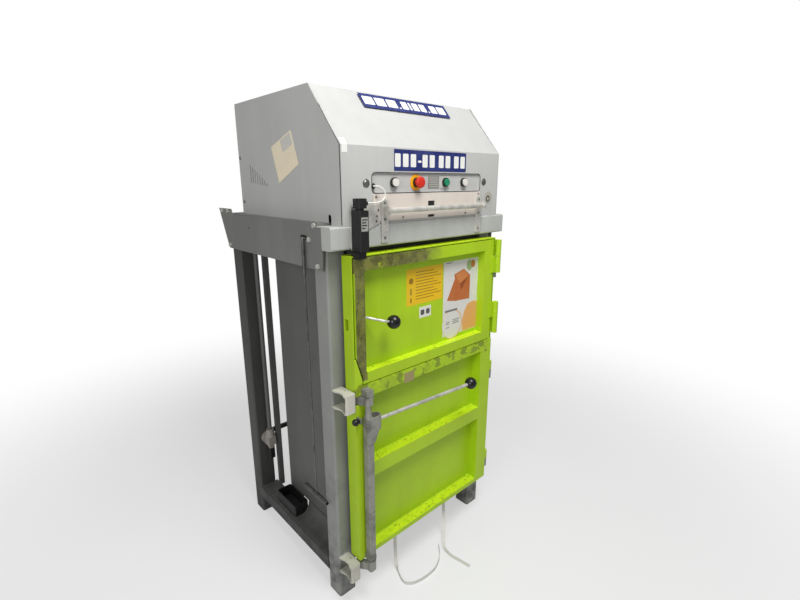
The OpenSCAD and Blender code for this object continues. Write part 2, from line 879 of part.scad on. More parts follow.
// Angle round the loading opening, welded on the lower frame, with the slot of the latch.
module door_surround() {
    depth = door_out - door_gap;
    rim = 56;
    rim_top = 45;
    flange = 10;
    z_gusset = rail1_z + 107;
    slot_w = 18;
    slot_h = 41;
    color(lime) placed() {
        difference() {
            along_y(front_y + door_t, depth - door_t) translate([-door_x, rail1_z])
                square([door_w, door_z1 - rail1_z]);
            along_y(front_y, depth + 1) translate([-door_x + rim, rail1_z - 1])
                square([door_w - 2 * rim, door_z1 - rail1_z - rim_top + 1]);
            along_y(front_y, depth - flange) translate([-door_x + door_t, rail1_z - 1])
                square([door_w - 2 * door_t, door_z1 - rail1_z - door_t + 1]);
            translate([-door_x + 10, front_y - 1, door_z1 - 10]) cube([38, 40, 12]);
            translate([-door_x - 1, latch_y + 9, latch_z - 48]) cube([8, slot_w, slot_h]);
        }
        along_y(front_y, door_t) polygon([
            [-door_x, rail1_z], [-door_x, z_gusset], [-door_x + 7, z_gusset],
            [-door_x + 32, rail1_z + 28], [-door_x + 36, rail1_z]
        ]);
    }
}

module door_panel() {
    color(lime) placed() translate([inner_l, panel_y, door_z0])
        cube([inner_r - inner_l, 5, rail1_z - door_z0]);
}

// Moving knuckles of the bale door and the fixed ones of the loading door.
module door_knuckles() {
    color(lime) placed() {
        for (z = hinge_zs) difference() {
            union() {
                translate([hinge_x, hinge_y, z + 0.5]) cylinder(d = knuckle_d, h = knuckle_h / 2);
                translate([door_x, hinge_y - 8, z + 0.5]) cube([hinge_x - door_x, 16, knuckle_h / 2]);
            }
            translate([hinge_x, hinge_y, z]) cylinder(d = hinge_pin_d + 2 * fit, h = knuckle_h / 2);
        }
        for (i = [0, 1]) {
            z = hatch_hinge_zs[i] + (i == 0 ? -barrel_h : 1);
            translate([hatch_hinge_x, hatch_hinge_y, z]) {
                cylinder(d = barrel_d, h = barrel_h - 1);
                translate([-6, 0, 0]) cube([8, 30, barrel_h - 1]);
                translate([0, 0, i == 0 ? 0 : -barrel_h + 6])
                    cylinder(d = hinge_pin_d, h = 2 * barrel_h - 8);
            }
        }
    }
}

// Two blocks that carry the lock shaft and the guide of the spring catch.
module lock_bearings() {
    half = 15;
    color(grey) placed() {
        for (b = [[door_z0 + 1, 20], [upper_cam + cam_h + 2, 26]]) difference() {
            translate([-lock_x - half, lock_y - half, b[0]])
                cube([2 * half, half + lock_out - door_out, b[1]]);
            translate([-lock_x, lock_y, b[0] - 1]) cylinder(d = shaft_d + 2 * fit, h = b[1] + 2);
        }
        difference() {
            translate([-door_x + 2, catch_y - 10, catch_z - 10]) cube([7, front_y - catch_y + 10, 20]);
            translate([-door_x, catch_y, catch_z]) rod_x_axis(catch_d + 2 * fit, 14);
        }
    }
}

// Spring catch with a small ball, beside the yoke, one turned piece.
module catch_pin() {
    head_d = 26;
    pin_l = 24.5;
    color(black) placed() translate([-door_x - 12.5, catch_y, catch_z]) rotate([0, 90, 0])
        rotate_extrude($fn = 64) union() {
            difference() {
                circle(d = head_d, $fn = 64);
                translate([-head_d, -head_d]) square([head_d, 2 * head_d]);
            }
            square([catch_d / 2, pin_l]);
        }
}

// Face of the loading door with its cut lower corner, drawn in by a margin.
module hatch_outline(m) {
    polygon([
        [-hatch_l + m, hatch_z1 - m], [-hatch_l + m, hatch_z0 + 107],
        [-door_x + 39 + m, hatch_z0 + 27], [-door_x + 39 + m, hatch_z0 + m],
        [hatch_r - m, hatch_z0 + m], [hatch_r - m, hatch_z1 - m]
    ]);
}

module hatch_frame() {
    color(lime) placed() difference() {
        along_y(front_y, hatch_d) hatch_outline(0);
        along_y(front_y - 1, hatch_d + 2) translate([window_x, window_z]) square([window_w, window_h]);
        along_y(front_y + hatch_t, hatch_d) difference() {
            hatch_outline(hatch_t);
            translate([window_x - hatch_t, window_z - hatch_t])
                square([window_w + 2 * hatch_t, window_h + 2 * hatch_t]);
        }
        translate([-hatch_l - 1, latch_y + 11, latch_z - 63]) cube([hatch_t + 2, 10, 62]);
        translate([window_x - hatch_t - 1, latch_y - 7, latch_z - 51]) cube([hatch_t + 2, 14, 64]);
    }
}

module hatch_panel() {
    color(lime) placed() translate([window_x, front_y + hatch_d - hatch_t, window_z])
        cube([window_w, hatch_t, window_h]);
}

module hatch_knuckles() {
    color(lime) placed() for (i = [0, 1]) {
        z = hatch_hinge_zs[i] + (i == 0 ? 0.5 : -barrel_h);
        translate([hatch_hinge_x, hatch_hinge_y, z]) difference() {
            union() {
                cylinder(d = barrel_d, h = barrel_h);
                translate([-36, 6, 0]) cube([36, 4, barrel_h]);
            }
            translate([0, 0, -1]) cylinder(d = hinge_pin_d + 2 * fit, h = barrel_h + 2);
        }
    }
}

// Block on the loading door that works the door switch.
module switch_actuator() {
    color(black) placed() translate([-hatch_l + 2, front_y - 23, hatch_z1]) cube([35, 40, 22]);
}

// Strap bent round the lock shaft that holds the lever, with a bore for it.
module yoke() {
    t = 6;
    r = 20;
    bend_x = 35;
    difference() {
        translate([0, 0, yoke_z]) linear_extrude(yoke_h) {
            translate([-22, -r]) square([22 + bend_x, t]);
            translate([27, r - t]) square([bend_x - 27, t]);
            difference() {
                translate([bend_x, 0]) circle(r, $fn = 96);
                translate([bend_x, 0]) circle(r - t, $fn = 96);
                translate([bend_x - 2 * r, -2 * r]) square([2 * r, 4 * r]);
            }
        }
        translate([0, 0, lever_z]) rotate([0, 0, -lever_yaw]) translate([20, 0, 0])
            rod_x_axis(lever_d + 2 * fit, 60);
    }
    along_y(-r, t) polygon([
        [-sleeve_w / 2, yoke_z - 45], [sleeve_w / 2, yoke_z - 45], [bend_x, yoke_z], [-22, yoke_z]
    ]);
}

// Lock shaft with sleeve, hubs, cams and the yoke of the lever.
module lock_bar() {
    sleeve_z = door_z0 + 23;
    color(grey) placed() translate([-lock_x, lock_y, 0]) {
        translate([0, 0, lower_cam - 8]) cylinder(d = shaft_d, h = upper_cam + cam_h + 40 - lower_cam);
        translate([-sleeve_w / 2, -sleeve_w / 2, sleeve_z])
            linear_extrude(yoke_z + yoke_h - sleeve_z) round_rect(sleeve_w, sleeve_w, 4);
        translate([0, 0, yoke_z + yoke_h]) cylinder(d1 = 30, d2 = 24, h = 21);
        for (z = [[lower_cam, 45], [upper_cam, cam_h]]) {
            translate([-hub_w / 2, -hub_w / 2, z[0]]) linear_extrude(z[1]) round_rect(hub_w, hub_w, 8);
            rotate([0, 0, cam_angle]) translate([0, -cam_w / 2, z[0]])
                cube([cam_r - cam_w / 2, cam_w, cam_h]);
            rotate([0, 0, cam_angle]) translate([cam_r - cam_w / 2, 0, z[0]])
                cylinder(d = cam_w, h = cam_h);
        }
        yoke();
    }
}

// Lever of the lock with a small seam at its start.
module lock_lever() {
    start = 17;
    color(steel) placed() translate([-lock_x, lock_y, lever_z]) rotate([0, 0, -lever_yaw])
        translate([start, 0, 0]) rod_x_axis(lever_d, lever_l - 15 - start);
}

// A ball knob with a blind hole for its rod, the hole along X.
module ball_knob(hole_d, depth) {
    rotate([0, 90, 0]) rotate_extrude($fn = 96) difference() {
        circle(d = ball_d, $fn = 96);
        translate([-ball_d, -ball_d]) square([ball_d, 2 * ball_d]);
        translate([-1, -ball_d]) square([hole_d / 2 + fit + 1, ball_d - depth]);
    }
}

module lever_knob() {
    color(black) placed() translate([-lock_x, lock_y, lever_z]) rotate([0, 0, -lever_yaw])
        translate([lever_l, 0, 0]) ball_knob(lever_d, 15);
}

// A bend of the latch's bar, a little stouter than its straights, from one angle on.
module bar_bend(centre, from) {
    translate([centre[0], centre[1], 0]) rotate([0, 0, from])
        rotate_extrude(angle = latch_bend) translate([latch_r, 0]) circle(d = latch_d + 0.6);
}

// Bent rod of the latch, whose straights run a little way into its bends.
module latch_rod() {
    c = cos(latch_bend);
    q = sin(latch_bend);
    lap = 2;
    p = [latch_run[0] + latch_r * q, latch_r * (c - 1)];
    e = p + latch_run[1] * [c, -q];
    rod_x_axis(latch_d, latch_run[0] + lap);
    bar_bend([latch_run[0], -latch_r], 90 - latch_bend);
    translate([p[0], p[1], 0]) rotate([0, 0, -latch_bend])
        translate([-lap, 0, 0]) rod_x_axis(latch_d, latch_run[1] + 2 * lap);
    bar_bend(e + latch_r * [q, c], -90 - latch_bend);
    translate([e[0] + latch_r * q - lap, -latch_out, 0]) rod_x_axis(latch_d, latch_run[2] + lap);
}

// Latch lever of the loading door: tongue, hub and bent rod.
module latch_lever() {
    tongue = 54;
    color(steel) placed() translate([-latch_x, latch_y, latch_z]) {
        rotate([0, latch_tilt, 0]) latch_rod();
        translate([0, -16.7, 0]) rod_y_axis(20, 39.7);
        translate([-6, 15, -tongue]) cube([12, 8, tongue]);
    }
}

module latch_knob() {
    color(black) placed() translate([-latch_x, latch_y, latch_z]) rotate([0, latch_tilt, 0])
        translate([latch_reach + 10, -latch_out, 0]) ball_knob(latch_d, 10);
}

// Press plate with its stiffening ribs.
module platen() {
    w = chamber_w - 2 * platen_gap;
    d = chamber_back - wall_t - chamber_front - 2 * platen_gap;
    plate = 12;
    rib = 10;
    rib_h = platen_h - plate;
    color("dimgray") placed() translate([-w / 2, chamber_front + platen_gap, platen_z]) {
        cube([w, d, plate]);
        for (x = [0, w / 2 - 90, w / 2 + 90 - rib, w - rib])
            translate([x, 0, plate]) cube([rib, d, rib_h]);
        for (y = [0, d / 2 - 80, d / 2 + 80 - rib, d - rib])
            translate([0, y, plate]) cube([w, rib, rib_h]);
    }
}

module piston_rod() {
    low = platen_z + 12;
    color(steel) placed() translate([0, press_y, low])
        cylinder(d = rod_d, h = barrel_top - 65 - low, $fn = 96);
}

// Middle stage of the cylinder, guided in the barrel and round the rod.
module piston_stage() {
    l = barrel_top - 20 - stage_z;
    color(steel) placed() translate([0, press_y, stage_z]) difference() {
        cylinder(d = stage_d, h = l, $fn = 96);
        translate([0, 0, -1]) cylinder(d = rod_d + 2 * fit, h = 50, $fn = 96);
        translate([0, 0, 40]) cylinder(d = rod_d + 8, h = l, $fn = 96);
    }
}

// Way of a strap out of its channel and round the edge of the floor.
function way_out(x) = concat(
    [[x, 38, floor_z - 12]],
    [for (a = [90:15:180]) [x, 13.5 + 30 * cos(a), floor_z - 37 + 30 * sin(a)]]
);

strap_a_path = concat(way_out(-160), [
    [-160, -17, 160], [-161, -18, 110], [-164, -24, 62], [-172, -36, 30],
    [-183, -54, 13], [-197, -83, 8], [-208, -113, 8], [-209, -136, 8],
    [-196, -153, 8], [-175, -164, 8], [-142, -172, 8], [-100, -175, 8], [-58, -171, 8],
    [-16, -153, 8], [16, -129, 8], [50, -90, 8]
]);
strap_b_path = concat(way_out(162), [
    [162, -17, 165], [156, -22, 128], [141, -40, 85], [113, -68, 44], [84, -92, 19],
    [64, -113, 9], [54, -143, 8], [53, -175, 8], [60, -215, 8], [68, -264, 8]
]);

// A direction that no part of a strap follows.
strap_across = [0.4, 0.6, -0.7];

function unit(v) = v / norm(v);
function tangent(p, i) = unit(p[min(i + 1, len(p) - 1)] - p[max(i - 1, 0)]);

// A tube swept along a route, eight-sided, its rings turned by a vector across the route.
module tube(p, r, across) {
    n = 8;
    rings = [for (i = [0:len(p) - 1]) let (t = tangent(p, i), a = unit(cross(t, across)), b = cross(a, t))
        for (k = [0:n - 1]) p[i] + r * (cos(360 * k / n) * a + sin(360 * k / n) * b)];
    m = len(p);
    faces = concat(
        [[for (k = [n - 1:-1:0]) k]],
        [for (i = [0:m - 2], k = [0:n - 1]) let (a = i * n + k, b = i * n + (k + 1) % n)
            each [[a, b, b + n], [a, b + n, a + n]]],
        [[for (k = [0:n - 1]) (m - 1) * n + k]]
    );
    polyhedron(rings, faces);
}

module strap_a() color(white) placed() tube(strap_a_path, strap_r, strap_across);
module strap_b() color(white) placed() tube(strap_b_path, strap_r, strap_across);

front_columns();
rear_columns();
side_rails();
cross_rails();
tray_left();
floor_plates();
strap_channels();
wall_left();
wall_right();
wall_rear();
front_beam();
side_plates();
top_deck();
hood();
hood_front();
control_panel();
lower_cover();
button_rings();
legend_plates();
guard_bar();
guard_brackets();
switch_bracket();
door_switch();
switch_cable();
keepers();
threading_rod();
conduits();
power_inlet();
buckle_box();
cylinder_barrel();
power_pack();
strap_axle();
bolts();
hinge_posts();
door_frame();
door_surround();
door_panel();
door_knuckles();
lock_bearings();
catch_pin();
hatch_frame();
hatch_panel();
hatch_knuckles();
switch_actuator();
lock_bar();
lock_lever();
lever_knob();
latch_lever();
latch_knob();
platen();
piston_rod();
piston_stage();
estop_button();
start_button();
push_left();
push_right();
strap_roll_left();
strap_roll_right();
strap_a();
strap_b();
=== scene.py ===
import math

import bmesh
import bpy
from mathutils import Color, Matrix, Vector


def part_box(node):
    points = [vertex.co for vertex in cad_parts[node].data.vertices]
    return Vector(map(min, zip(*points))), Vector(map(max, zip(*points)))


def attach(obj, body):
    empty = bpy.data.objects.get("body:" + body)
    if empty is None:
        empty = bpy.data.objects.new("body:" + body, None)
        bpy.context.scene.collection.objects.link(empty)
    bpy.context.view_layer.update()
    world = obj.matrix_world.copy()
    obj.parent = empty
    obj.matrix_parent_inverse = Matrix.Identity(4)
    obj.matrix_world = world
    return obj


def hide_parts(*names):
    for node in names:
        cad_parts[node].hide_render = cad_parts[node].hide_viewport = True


bl_info = {
    "name": "Recycling Baler",
    "version": (1, 0, 0),
    "blender": (4, 5, 0),
    "location": "3D View > Sidebar > Baler",
    "description": "Paint, wear, labels, fittings and straps of a recycling baler",
    "category": "Object",
}

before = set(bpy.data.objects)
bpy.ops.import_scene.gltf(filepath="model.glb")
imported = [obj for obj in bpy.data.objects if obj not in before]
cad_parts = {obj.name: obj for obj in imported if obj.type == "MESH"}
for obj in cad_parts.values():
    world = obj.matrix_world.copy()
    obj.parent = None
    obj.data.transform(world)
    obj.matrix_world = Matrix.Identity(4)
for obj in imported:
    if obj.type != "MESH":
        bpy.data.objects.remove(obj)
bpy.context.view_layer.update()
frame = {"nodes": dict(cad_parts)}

# A millimetre in the scene's metres, and the ways out of the front and of the left side.
MM = 0.001
FORWARD = Vector((0, -1, 0))
LEFTWARD = Vector((-1, 0, 0))

# The middle of the width on the columns' front plane, from the front columns' left corner.
COLUMN_X = 449
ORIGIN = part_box("front_columns")[0] + Vector((COLUMN_X, 0, 0)) * MM

# Planes that face the front, and the hood's left side, in millimetres from that point.
HOOD_FRONT = -55
PANEL_FRONT = -50
COVER_FRONT = -59
BRACKET_FRONT = -64
DOOR_FRONT = -77
HATCH_PANEL = -40
HOOD_SIDE = -420
SWITCH_FRONT = -112
SLOPE_FOOT = Vector((0, HOOD_FRONT, 1786))
SLOPE_UP = Vector((0, 166, 199)).normalized()

# Printed strips: their outlines, and the marks on them from left to right. Those on the slope are
# given up the slope from its foot.
LOW_STRIP = (-190, 199, 1708, 1781)
LOW_MARKS = (-186, -148, -110, -73, -50, -12, 38, 76, 126, 164)
LOW_DASH = 3
HIGH_STRIP = ((-222, 182), (231, 182), (231, 250), (-222, 250))
HIGH_MARKS = ((-212, -164), (-156, -108), (-100, -52), (-44, -35), (-27, 5), (13, 23), (31, 63), (71, 103),
              (111, 120), (128, 164), (172, 216))
DOT_WIDTH = 9
MARK_FILM = 0.2
PRINT_LAYER = 0.3

# Card on the hood's left side and the paler field on it, by depth and height.
CARD = ((236, 1850), (389, 1799), (342, 1667), (194, 1732))
CARD_FIELD = ((244, 1842), (318, 1818), (300, 1776), (228, 1802))

# Screw heads on the planes that face the front: the plane, the head's share of the screw size, and
# places by width and height. Those on the hood's left side are by depth and height.
FRONT_SCREWS = (
    (HOOD_FRONT, 1.5, ((-315, 1666), (321, 1670))),
    (COVER_FRONT, 0.45, ((-276, 1621), (282, 1622), (-150, 1547), (200, 1547))),
    (BRACKET_FRONT, 0.55,
     ((-241, 1601), (-241, 1544), (-241, 1480), (282, 1600), (282, 1544), (282, 1480))),
    (COVER_FRONT - 3, 0.4, ((-269, 1577), (-276, 1557), (-278, 1540))),
)
SIDE_SCREWS = ((673, 1769), (666, 1589))

# Camera of the front view, its place in millimetres and its turn in degrees.
CAMERA_PLACE = (-1281.59, -1275.27, 1670.35)
CAMERA_TURN = (75.34, 0.08, -42.54)
CAMERA_LENS = 20.30

# Lamps: place, target and size in metres.
OVERHEAD = ((-0.25, -1.5, 3.6), (0.0, 0.0, 1.3), 1.3)
FILL = ((-3.4, -1.7, 2.3), (0.0, 0.0, 1.1), 1.6)
FLOOR_RADIUS = 14.0

# How deep the paint's bumps are, how long a step of a bead is, and the weave's repeats in a metre.
PAINT_DEPTH = 0.0006
BEAD_STEP = 0.004
WEAVES_PER_METRE = 20

# Straps: the chamber floor's height and the bend round its edge, the steps between two points of the
# route, the height under which a strap lies flat, how high it lies there, and where along the route
# it turns towards its loop and then on its edge or flat.
FLOOR_Z = 230
BEND = 30
ROUTE_STEPS = 4
LIES_BELOW = 10
LIES_AT = 1.2
TURNS_OUT = (7.5, 9.5)
TURNS_OVER = (11.0, 13.0)


def at(x, y, z):
    """A point in millimetres from the columns' front plane, in the scene's metres."""
    return ORIGIN + Vector((x, y, z)) * MM


def linear(colour):
    """A display colour as the shader's linear one, with its alpha."""
    return (*Color(colour).from_srgb_to_scene_linear(), 1.0)


# Shader expressions

class Wire:
    """An output socket that takes part in Python expressions."""

    def __init__(self, shader, socket):
        self.shader = shader
        self.socket = socket

    def _math(self, operation, first, second):
        return self.shader.node("ShaderNodeMath", {"operation": operation}, {0: first, 1: second})

    def __add__(self, other):
        return self._math("ADD", self, other)

    __radd__ = __add__

    def __sub__(self, other):
        return self._math("SUBTRACT", self, other)

    def __rsub__(self, other):
        return self._math("SUBTRACT", other, self)

    def __mul__(self, other):
        return self._math("MULTIPLY", self, other)

    __rmul__ = __mul__

    def greatest(self, other):
        return self._math("MAXIMUM", self, other)

    def apart(self, middle):
        """How far the value is from a middle one."""
        return self.shader.node("ShaderNodeMath", {"operation": "ABSOLUTE"}, {0: self - middle})


class Shader:
    """A material whose nodes are made by one method."""

    def __init__(self, name):
        self.material = bpy.data.materials.new(name)
        self.material.use_nodes = True
        self.tree = self.material.node_tree
        self.surface = self.tree.nodes["Principled BSDF"]
        self.point = self.node("ShaderNodeTexCoord", output="Object")
        axes = self.node("ShaderNodeSeparateXYZ", inputs={0: self.point}, output="X")
        self.x, self.y, self.z = (Wire(self, axes.socket.node.outputs[k]) for k in "XYZ")

    @classmethod
    def on(cls, tree):
        """The same helpers on a tree that has no surface, such as a world's."""
        shader = cls.__new__(cls)
        shader.tree = tree
        return shader

    def node(self, kind, settings=None, inputs=None, output=0):
        """Any node: its type, its settings first, then what its sockets hold or are linked to."""
        node = self.tree.nodes.new(kind)
        for key, value in (settings or {}).items():
            setattr(node, key, value)
        for key, value in (inputs or {}).items():
            if isinstance(value, Wire):
                self.tree.links.new(value.socket, node.inputs[key])
            else:
                node.inputs[key].default_value = value
        return Wire(self, node.outputs[output])

    def noise(self, scale, detail=3.0, rough=0.5, stretch=(1, 1, 1), shift=(0, 0, 0)):
        place = self.node("ShaderNodeMapping", inputs={0: self.point, 1: shift, 3: stretch})
        return self.node("ShaderNodeTexNoise",
                         inputs={"Vector": place, "Scale": scale, "Detail": detail, "Roughness": rough})

    def step(self, value, low, high, start=0.0, end=1.0):
        """A soft step of a value from low to high."""
        return self.node("ShaderNodeMapRange", {"interpolation_type": "SMOOTHSTEP"},
                         {0: value, 1: low, 2: high, 3: start, 4: end})

    def band(self, value, low, high, soft):
        """One between low and high, fading over soft outside them."""
        return self.step(value, low - soft, low) * self.step(value, high + soft, high)

    def zone(self, low, high, soft=0.006):
        """One inside a box given in millimetres from the columns' front plane, fading over soft metres."""
        a, b = at(*low), at(*high)
        return (self.band(self.x, a.x, b.x, soft) * self.band(self.y, a.y, b.y, soft)
                * self.band(self.z, a.z, b.z, soft))

    def mix(self, factor, first, second):
        return self.node("ShaderNodeMix", {"data_type": "RGBA"}, {0: factor, 6: first, 7: second}, 2)

    def facing(self, axis):
        """How much the surface faces along an axis, from -1 to 1."""
        geometry = self.node("ShaderNodeNewGeometry", output="Normal")
        return self.node("ShaderNodeSeparateXYZ", inputs={0: geometry}, output=axis)

    def bump(self, height, strength, depth):
        return self.node("ShaderNodeBump",
                         inputs={"Strength": strength, "Distance": depth, "Height": height})

    def finish(self, colour=None, rough=None, metal=None, normal=None):
        """Feeds the surface, by a link or by a plain value, and gives the material."""
        sockets = {"Base Color": colour, "Roughness": rough, "Metallic": metal, "Normal": normal}
        for key, value in sockets.items():
            if isinstance(value, Wire):
                self.tree.links.new(value.socket, self.surface.inputs[key])
            elif value is not None:
                self.surface.inputs[key].default_value = value
        return self.material


def scratches(s, density, shift=(0, 0, 0)):
    """Thin lines in several directions where something has rubbed."""
    marks = None
    for i, stretch in enumerate(((1, 1, 14), (14, 1, 1.5), (9, 9, 1))):
        lines = s.noise(34 + 9 * i, 2.0, 0.6, stretch, (shift[0] + 3 * i, shift[1], shift[2] + i))
        line = s.step(lines.apart(0.5), 0.012, 0.002)
        marks = line if marks is None else marks.greatest(line)
    return marks * s.step(s.noise(7, 3.0, 0.6, shift=shift), 1 - density, 1.08 - density)


def specks(s, scale, amount, shift=(0, 0, 0)):
    """Small round spots with ragged edges."""
    return s.step(s.noise(scale, 3.0, 0.62, shift=shift), 1 - amount, 1.03 - amount)


def paint(name, colour, tone=0.06, dirt=0.25, chips=0.34, gloss=0.42, peel=0.25):
    """Stoved paint on sheet steel: mottled, scuffed, darker in patches towards the bottom."""
    s = Shader(name)
    base = linear(colour)
    dark = tuple(c * (1 - 2.2 * tone) for c in base[:3]) + (1,)
    worn = linear([c * 0.55 for c in colour])
    steel = linear((0.40, 0.37, 0.34))
    cloud = s.noise(3.1, 4.0, 0.6)
    streak = s.noise(11, 4.0, 0.6, (1, 1, 0.12), (2, 0, 0))
    shade = s.mix(s.step(cloud * 0.6 + streak * 0.4, 0.38, 0.62), dark, base)
    # Darker in noisy patches below 0.42 m, and random dark patches of dirt all over.
    low = s.step(s.z, 0.42, 0.02) * dirt
    rub = scratches(s, chips)
    spot = specks(s, 60, chips * 0.78, (5, 1, 2))
    low_dark_and_grime = (low * s.step(s.noise(16, 4.0, 0.65), 0.35, 0.65)).greatest(
        dirt * 0.5 * s.step(s.noise(5.5, 5.0, 0.7, shift=(1, 7, 3)), 0.55, 0.78))
    tint = s.mix(low_dark_and_grime, shade, worn)
    tint = s.mix(rub * 0.35, tint, linear([min(1, c * 1.12) for c in colour]))
    tint = s.mix(spot * 0.8, tint, steel)
    rough = gloss + 0.14 * cloud + 0.25 * low_dark_and_grime
    fine = s.noise(420, 2.0, 0.5) * peel - spot * 1.5 - rub * 0.3
    return s, tint, rough, fine


def frame_paint(name, colour, **settings):
    """The plain stoved paint of the frame, covers and hood."""
    s, tint, rough, fine = paint(name, colour, **settings)
    return s.finish(tint, rough, normal=s.bump(fine, 0.35, PAINT_DEPTH))


def rail_wear_and_highlight(s, tint, colour):
    """Lighter tops of the door's rails, partly chipped wear and partly a painted highlight, with rust spots
    along them.
    """
    up = s.step(s.facing("Z"), 0.6, 0.9)
    light = linear([min(1, c * f) for c, f in zip(colour, (1.20, 1.12, 1.5))])
    patch = s.step(s.noise(22, 4.0, 0.7, (1, 3, 3)), 0.40, 0.50)
    # Faces that look up turn lighter: partly worn paint, partly a painted highlight.
    tint = s.mix(up * (0.35 + 0.5 * patch), tint, light)
    rust = specks(s, 85, 0.36, (3, 3, 1)) * up
    return s.mix(rust, tint, linear((0.30, 0.25, 0.10))), rust


def door_paint(name, colour):
    """Lime paint with rail wear, a painted highlight on the rails' tops, and dark marks where hands and
    card rub.
    """
    s, tint, rough, fine = paint(name, colour, tone=0.045, dirt=0.22, chips=0.30, gloss=0.36)
    tint, rust = rail_wear_and_highlight(s, tint, colour)
    smear = specks(s, 9, 0.47, (4, 2, 0)) * s.zone((-401, -90, 890), (401, -60, 960), 0.02)
    edge = specks(s, 30, 0.47, (1, 5, 2)) * s.zone((-405, -90, 900), (401, -70, 962), 0.004)
    tint = s.mix(smear * 0.22, tint, linear((0.45, 0.48, 0.18)))
    tint = s.mix(edge * 0.55, tint, linear((0.33, 0.32, 0.16)))
    return s.finish(tint, rough + 0.3 * rust, normal=s.bump(fine - 2.0 * rust, 0.35, PAINT_DEPTH))


def hatch_paint(name, colour):
    """The loading door: its lock side and the lock end of its top rail are worn brown."""
    s, tint, rough, fine = paint(name, colour, tone=0.045, dirt=0.18, chips=0.30, gloss=0.36)
    # Lighter rail tops, partly worn paint and partly a painted highlight, with rust spots on them.
    tint, rust = rail_wear_and_highlight(s, tint, colour)
    ragged = s.noise(14, 5.0, 0.72, shift=(2, 2, 8))
    left, right = at(-200, 0, 0).x, at(190, 0, 0).x
    side = s.zone((-388, -90, 975), (-345, -70, 1425), 0.004)
    top = s.zone((-392, -90, 1374), (330, -70, 1425), 0.006) * s.step(s.x, right, left)
    worn = side.greatest(s.step(top + 0.5 * ragged, 0.52, 0.98)) * s.step(ragged, 0.24, 0.40)
    fleck = s.step(s.noise(120, 3.0, 0.7, (1, 1, 0.4)), 0.60, 0.66)
    line = scratches(s, 0.60, (7, 1, 4))
    mottle = s.step(s.noise(26, 4.0, 0.7), 0.42, 0.60)
    brown = s.mix(mottle, linear((0.27, 0.25, 0.12)), linear((0.42, 0.41, 0.17)))
    brown = s.mix((fleck * 0.45).greatest(line * 0.6), brown, linear((0.62, 0.62, 0.44)))
    tint = s.mix(worn * 0.94, tint, brown)
    return s.finish(tint, rough + 0.3 * worn,
                    normal=s.bump(fine - 1.2 * worn * fleck - worn, 0.4, PAINT_DEPTH))


def metal(name, colour, rough=0.34, streaks=(1, 1, 0.1), wear=0.3, rust=0.0, polish=1.0):
    """Drawn or plated steel with handling marks."""
    s = Shader(name)
    base = linear(colour)
    dull = linear([c * 0.72 for c in colour])
    grain = s.noise(90, 3.0, 0.6, streaks)
    cloud = s.noise(13, 4.0, 0.65)
    tint = s.mix(s.step(cloud, 0.40, 0.64) * (0.35 + wear), base, dull)
    tint = s.mix(scratches(s, 0.45) * wear, tint, linear([c * 0.5 for c in colour]))
    spots = s.noise(38, 5.0, 0.7, shift=(6, 2, 1))
    spot = s.step(spots, 0.72 - rust, 0.80 - rust) * (1.0 if rust else 0.0)
    tint = s.mix(spot, tint, linear((0.33, 0.22, 0.13)))
    return s.finish(tint, rough + 0.22 * cloud - 0.1 * grain + 0.3 * spot, polish - 0.8 * polish * spot,
                    s.bump(grain * 0.3 - spot * 0.5, 0.3, 0.0004))


def plastic(name, colour, rough=0.38, dust=0.15, grain=260):
    """Moulded plastic with a fine grain and a little dust on top."""
    s = Shader(name)
    base = linear(colour)
    pale = linear([c + (0.62 - c) * 0.5 for c in colour])
    cloud = s.noise(18, 4.0, 0.6)
    settled = s.step(s.facing("Z"), 0.2, 1.0) * dust + dust * 0.5 * s.step(cloud, 0.45, 0.75)
    return s.finish(s.mix(settled, base, pale), rough + 0.18 * cloud,
                    normal=s.bump(s.noise(grain, 2.0), 0.2, 0.0003))


def print_film(name, colour, rough=0.35):
    """Printed film or paper, slightly faded and scuffed."""
    s = Shader(name)
    base = linear(colour)
    faded = linear([c + (0.75 - c) * 0.12 for c in colour])
    cloud = s.noise(14, 4.0, 0.65)
    return s.finish(s.mix(s.step(cloud, 0.4, 0.7), base, faded), rough + 0.15 * cloud,
                    normal=s.bump(s.noise(60, 3.0), 0.12, 0.0005))


def legend_film(name, yellow, silver):
    """Yellow round the emergency stop, silver round the start button."""
    s = Shader(name)
    cloud = s.noise(30, 4.0, 0.6)
    stop = s.step(s.x, at(4, 0, 0).x, at(0, 0, 0).x)
    tint = s.mix(stop, linear(silver), linear(yellow))
    tint = s.mix(s.step(cloud, 0.45, 0.75) * 0.3, tint, linear((0.40, 0.36, 0.28)))
    return s.finish(tint, 0.35 + 0.2 * cloud, normal=s.bump(s.noise(90, 3.0), 0.12, 0.0004))


def inlet_plastic(name, housing, lower_half):
    """The power inlet: a dusty housing whose lower half is dark."""
    s = Shader(name)
    low, high = (corner.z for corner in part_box("power_inlet"))
    cloud = s.noise(30, 4.0, 0.6)
    # The housing's lower half is given a near-black colour.
    split = s.step(s.z + cloud * 0.02, low + (high - low) * 0.42, low + (high - low) * 0.46)
    return s.finish(s.mix(split, linear(lower_half), linear(housing)), 0.4 + 0.2 * cloud)


def strap_fibre(name, colour):
    """Woven polyester strap: fine cords along its length, crossed by threads."""
    s = Shader(name)
    weave = s.node("ShaderNodeTexCoord", output="UV")
    along = s.node("ShaderNodeTexWave", {"bands_direction": "X", "wave_profile": "SIN"},
                   {"Vector": weave, "Scale": 9.0, "Distortion": 0.4})
    across = s.node("ShaderNodeTexWave", {"bands_direction": "Y", "wave_profile": "SIN"},
                    {"Vector": weave, "Scale": 60.0, "Distortion": 0.6})
    cord = along * 0.7 + across * 0.3
    tint = s.mix(s.step(cord, 0.1, 0.7), linear([c * 0.82 for c in colour]), linear(colour))
    return s.finish(tint, 0.42 + 0.12 * cord, normal=s.bump(cord, 0.5, 0.0003))


# Pieces

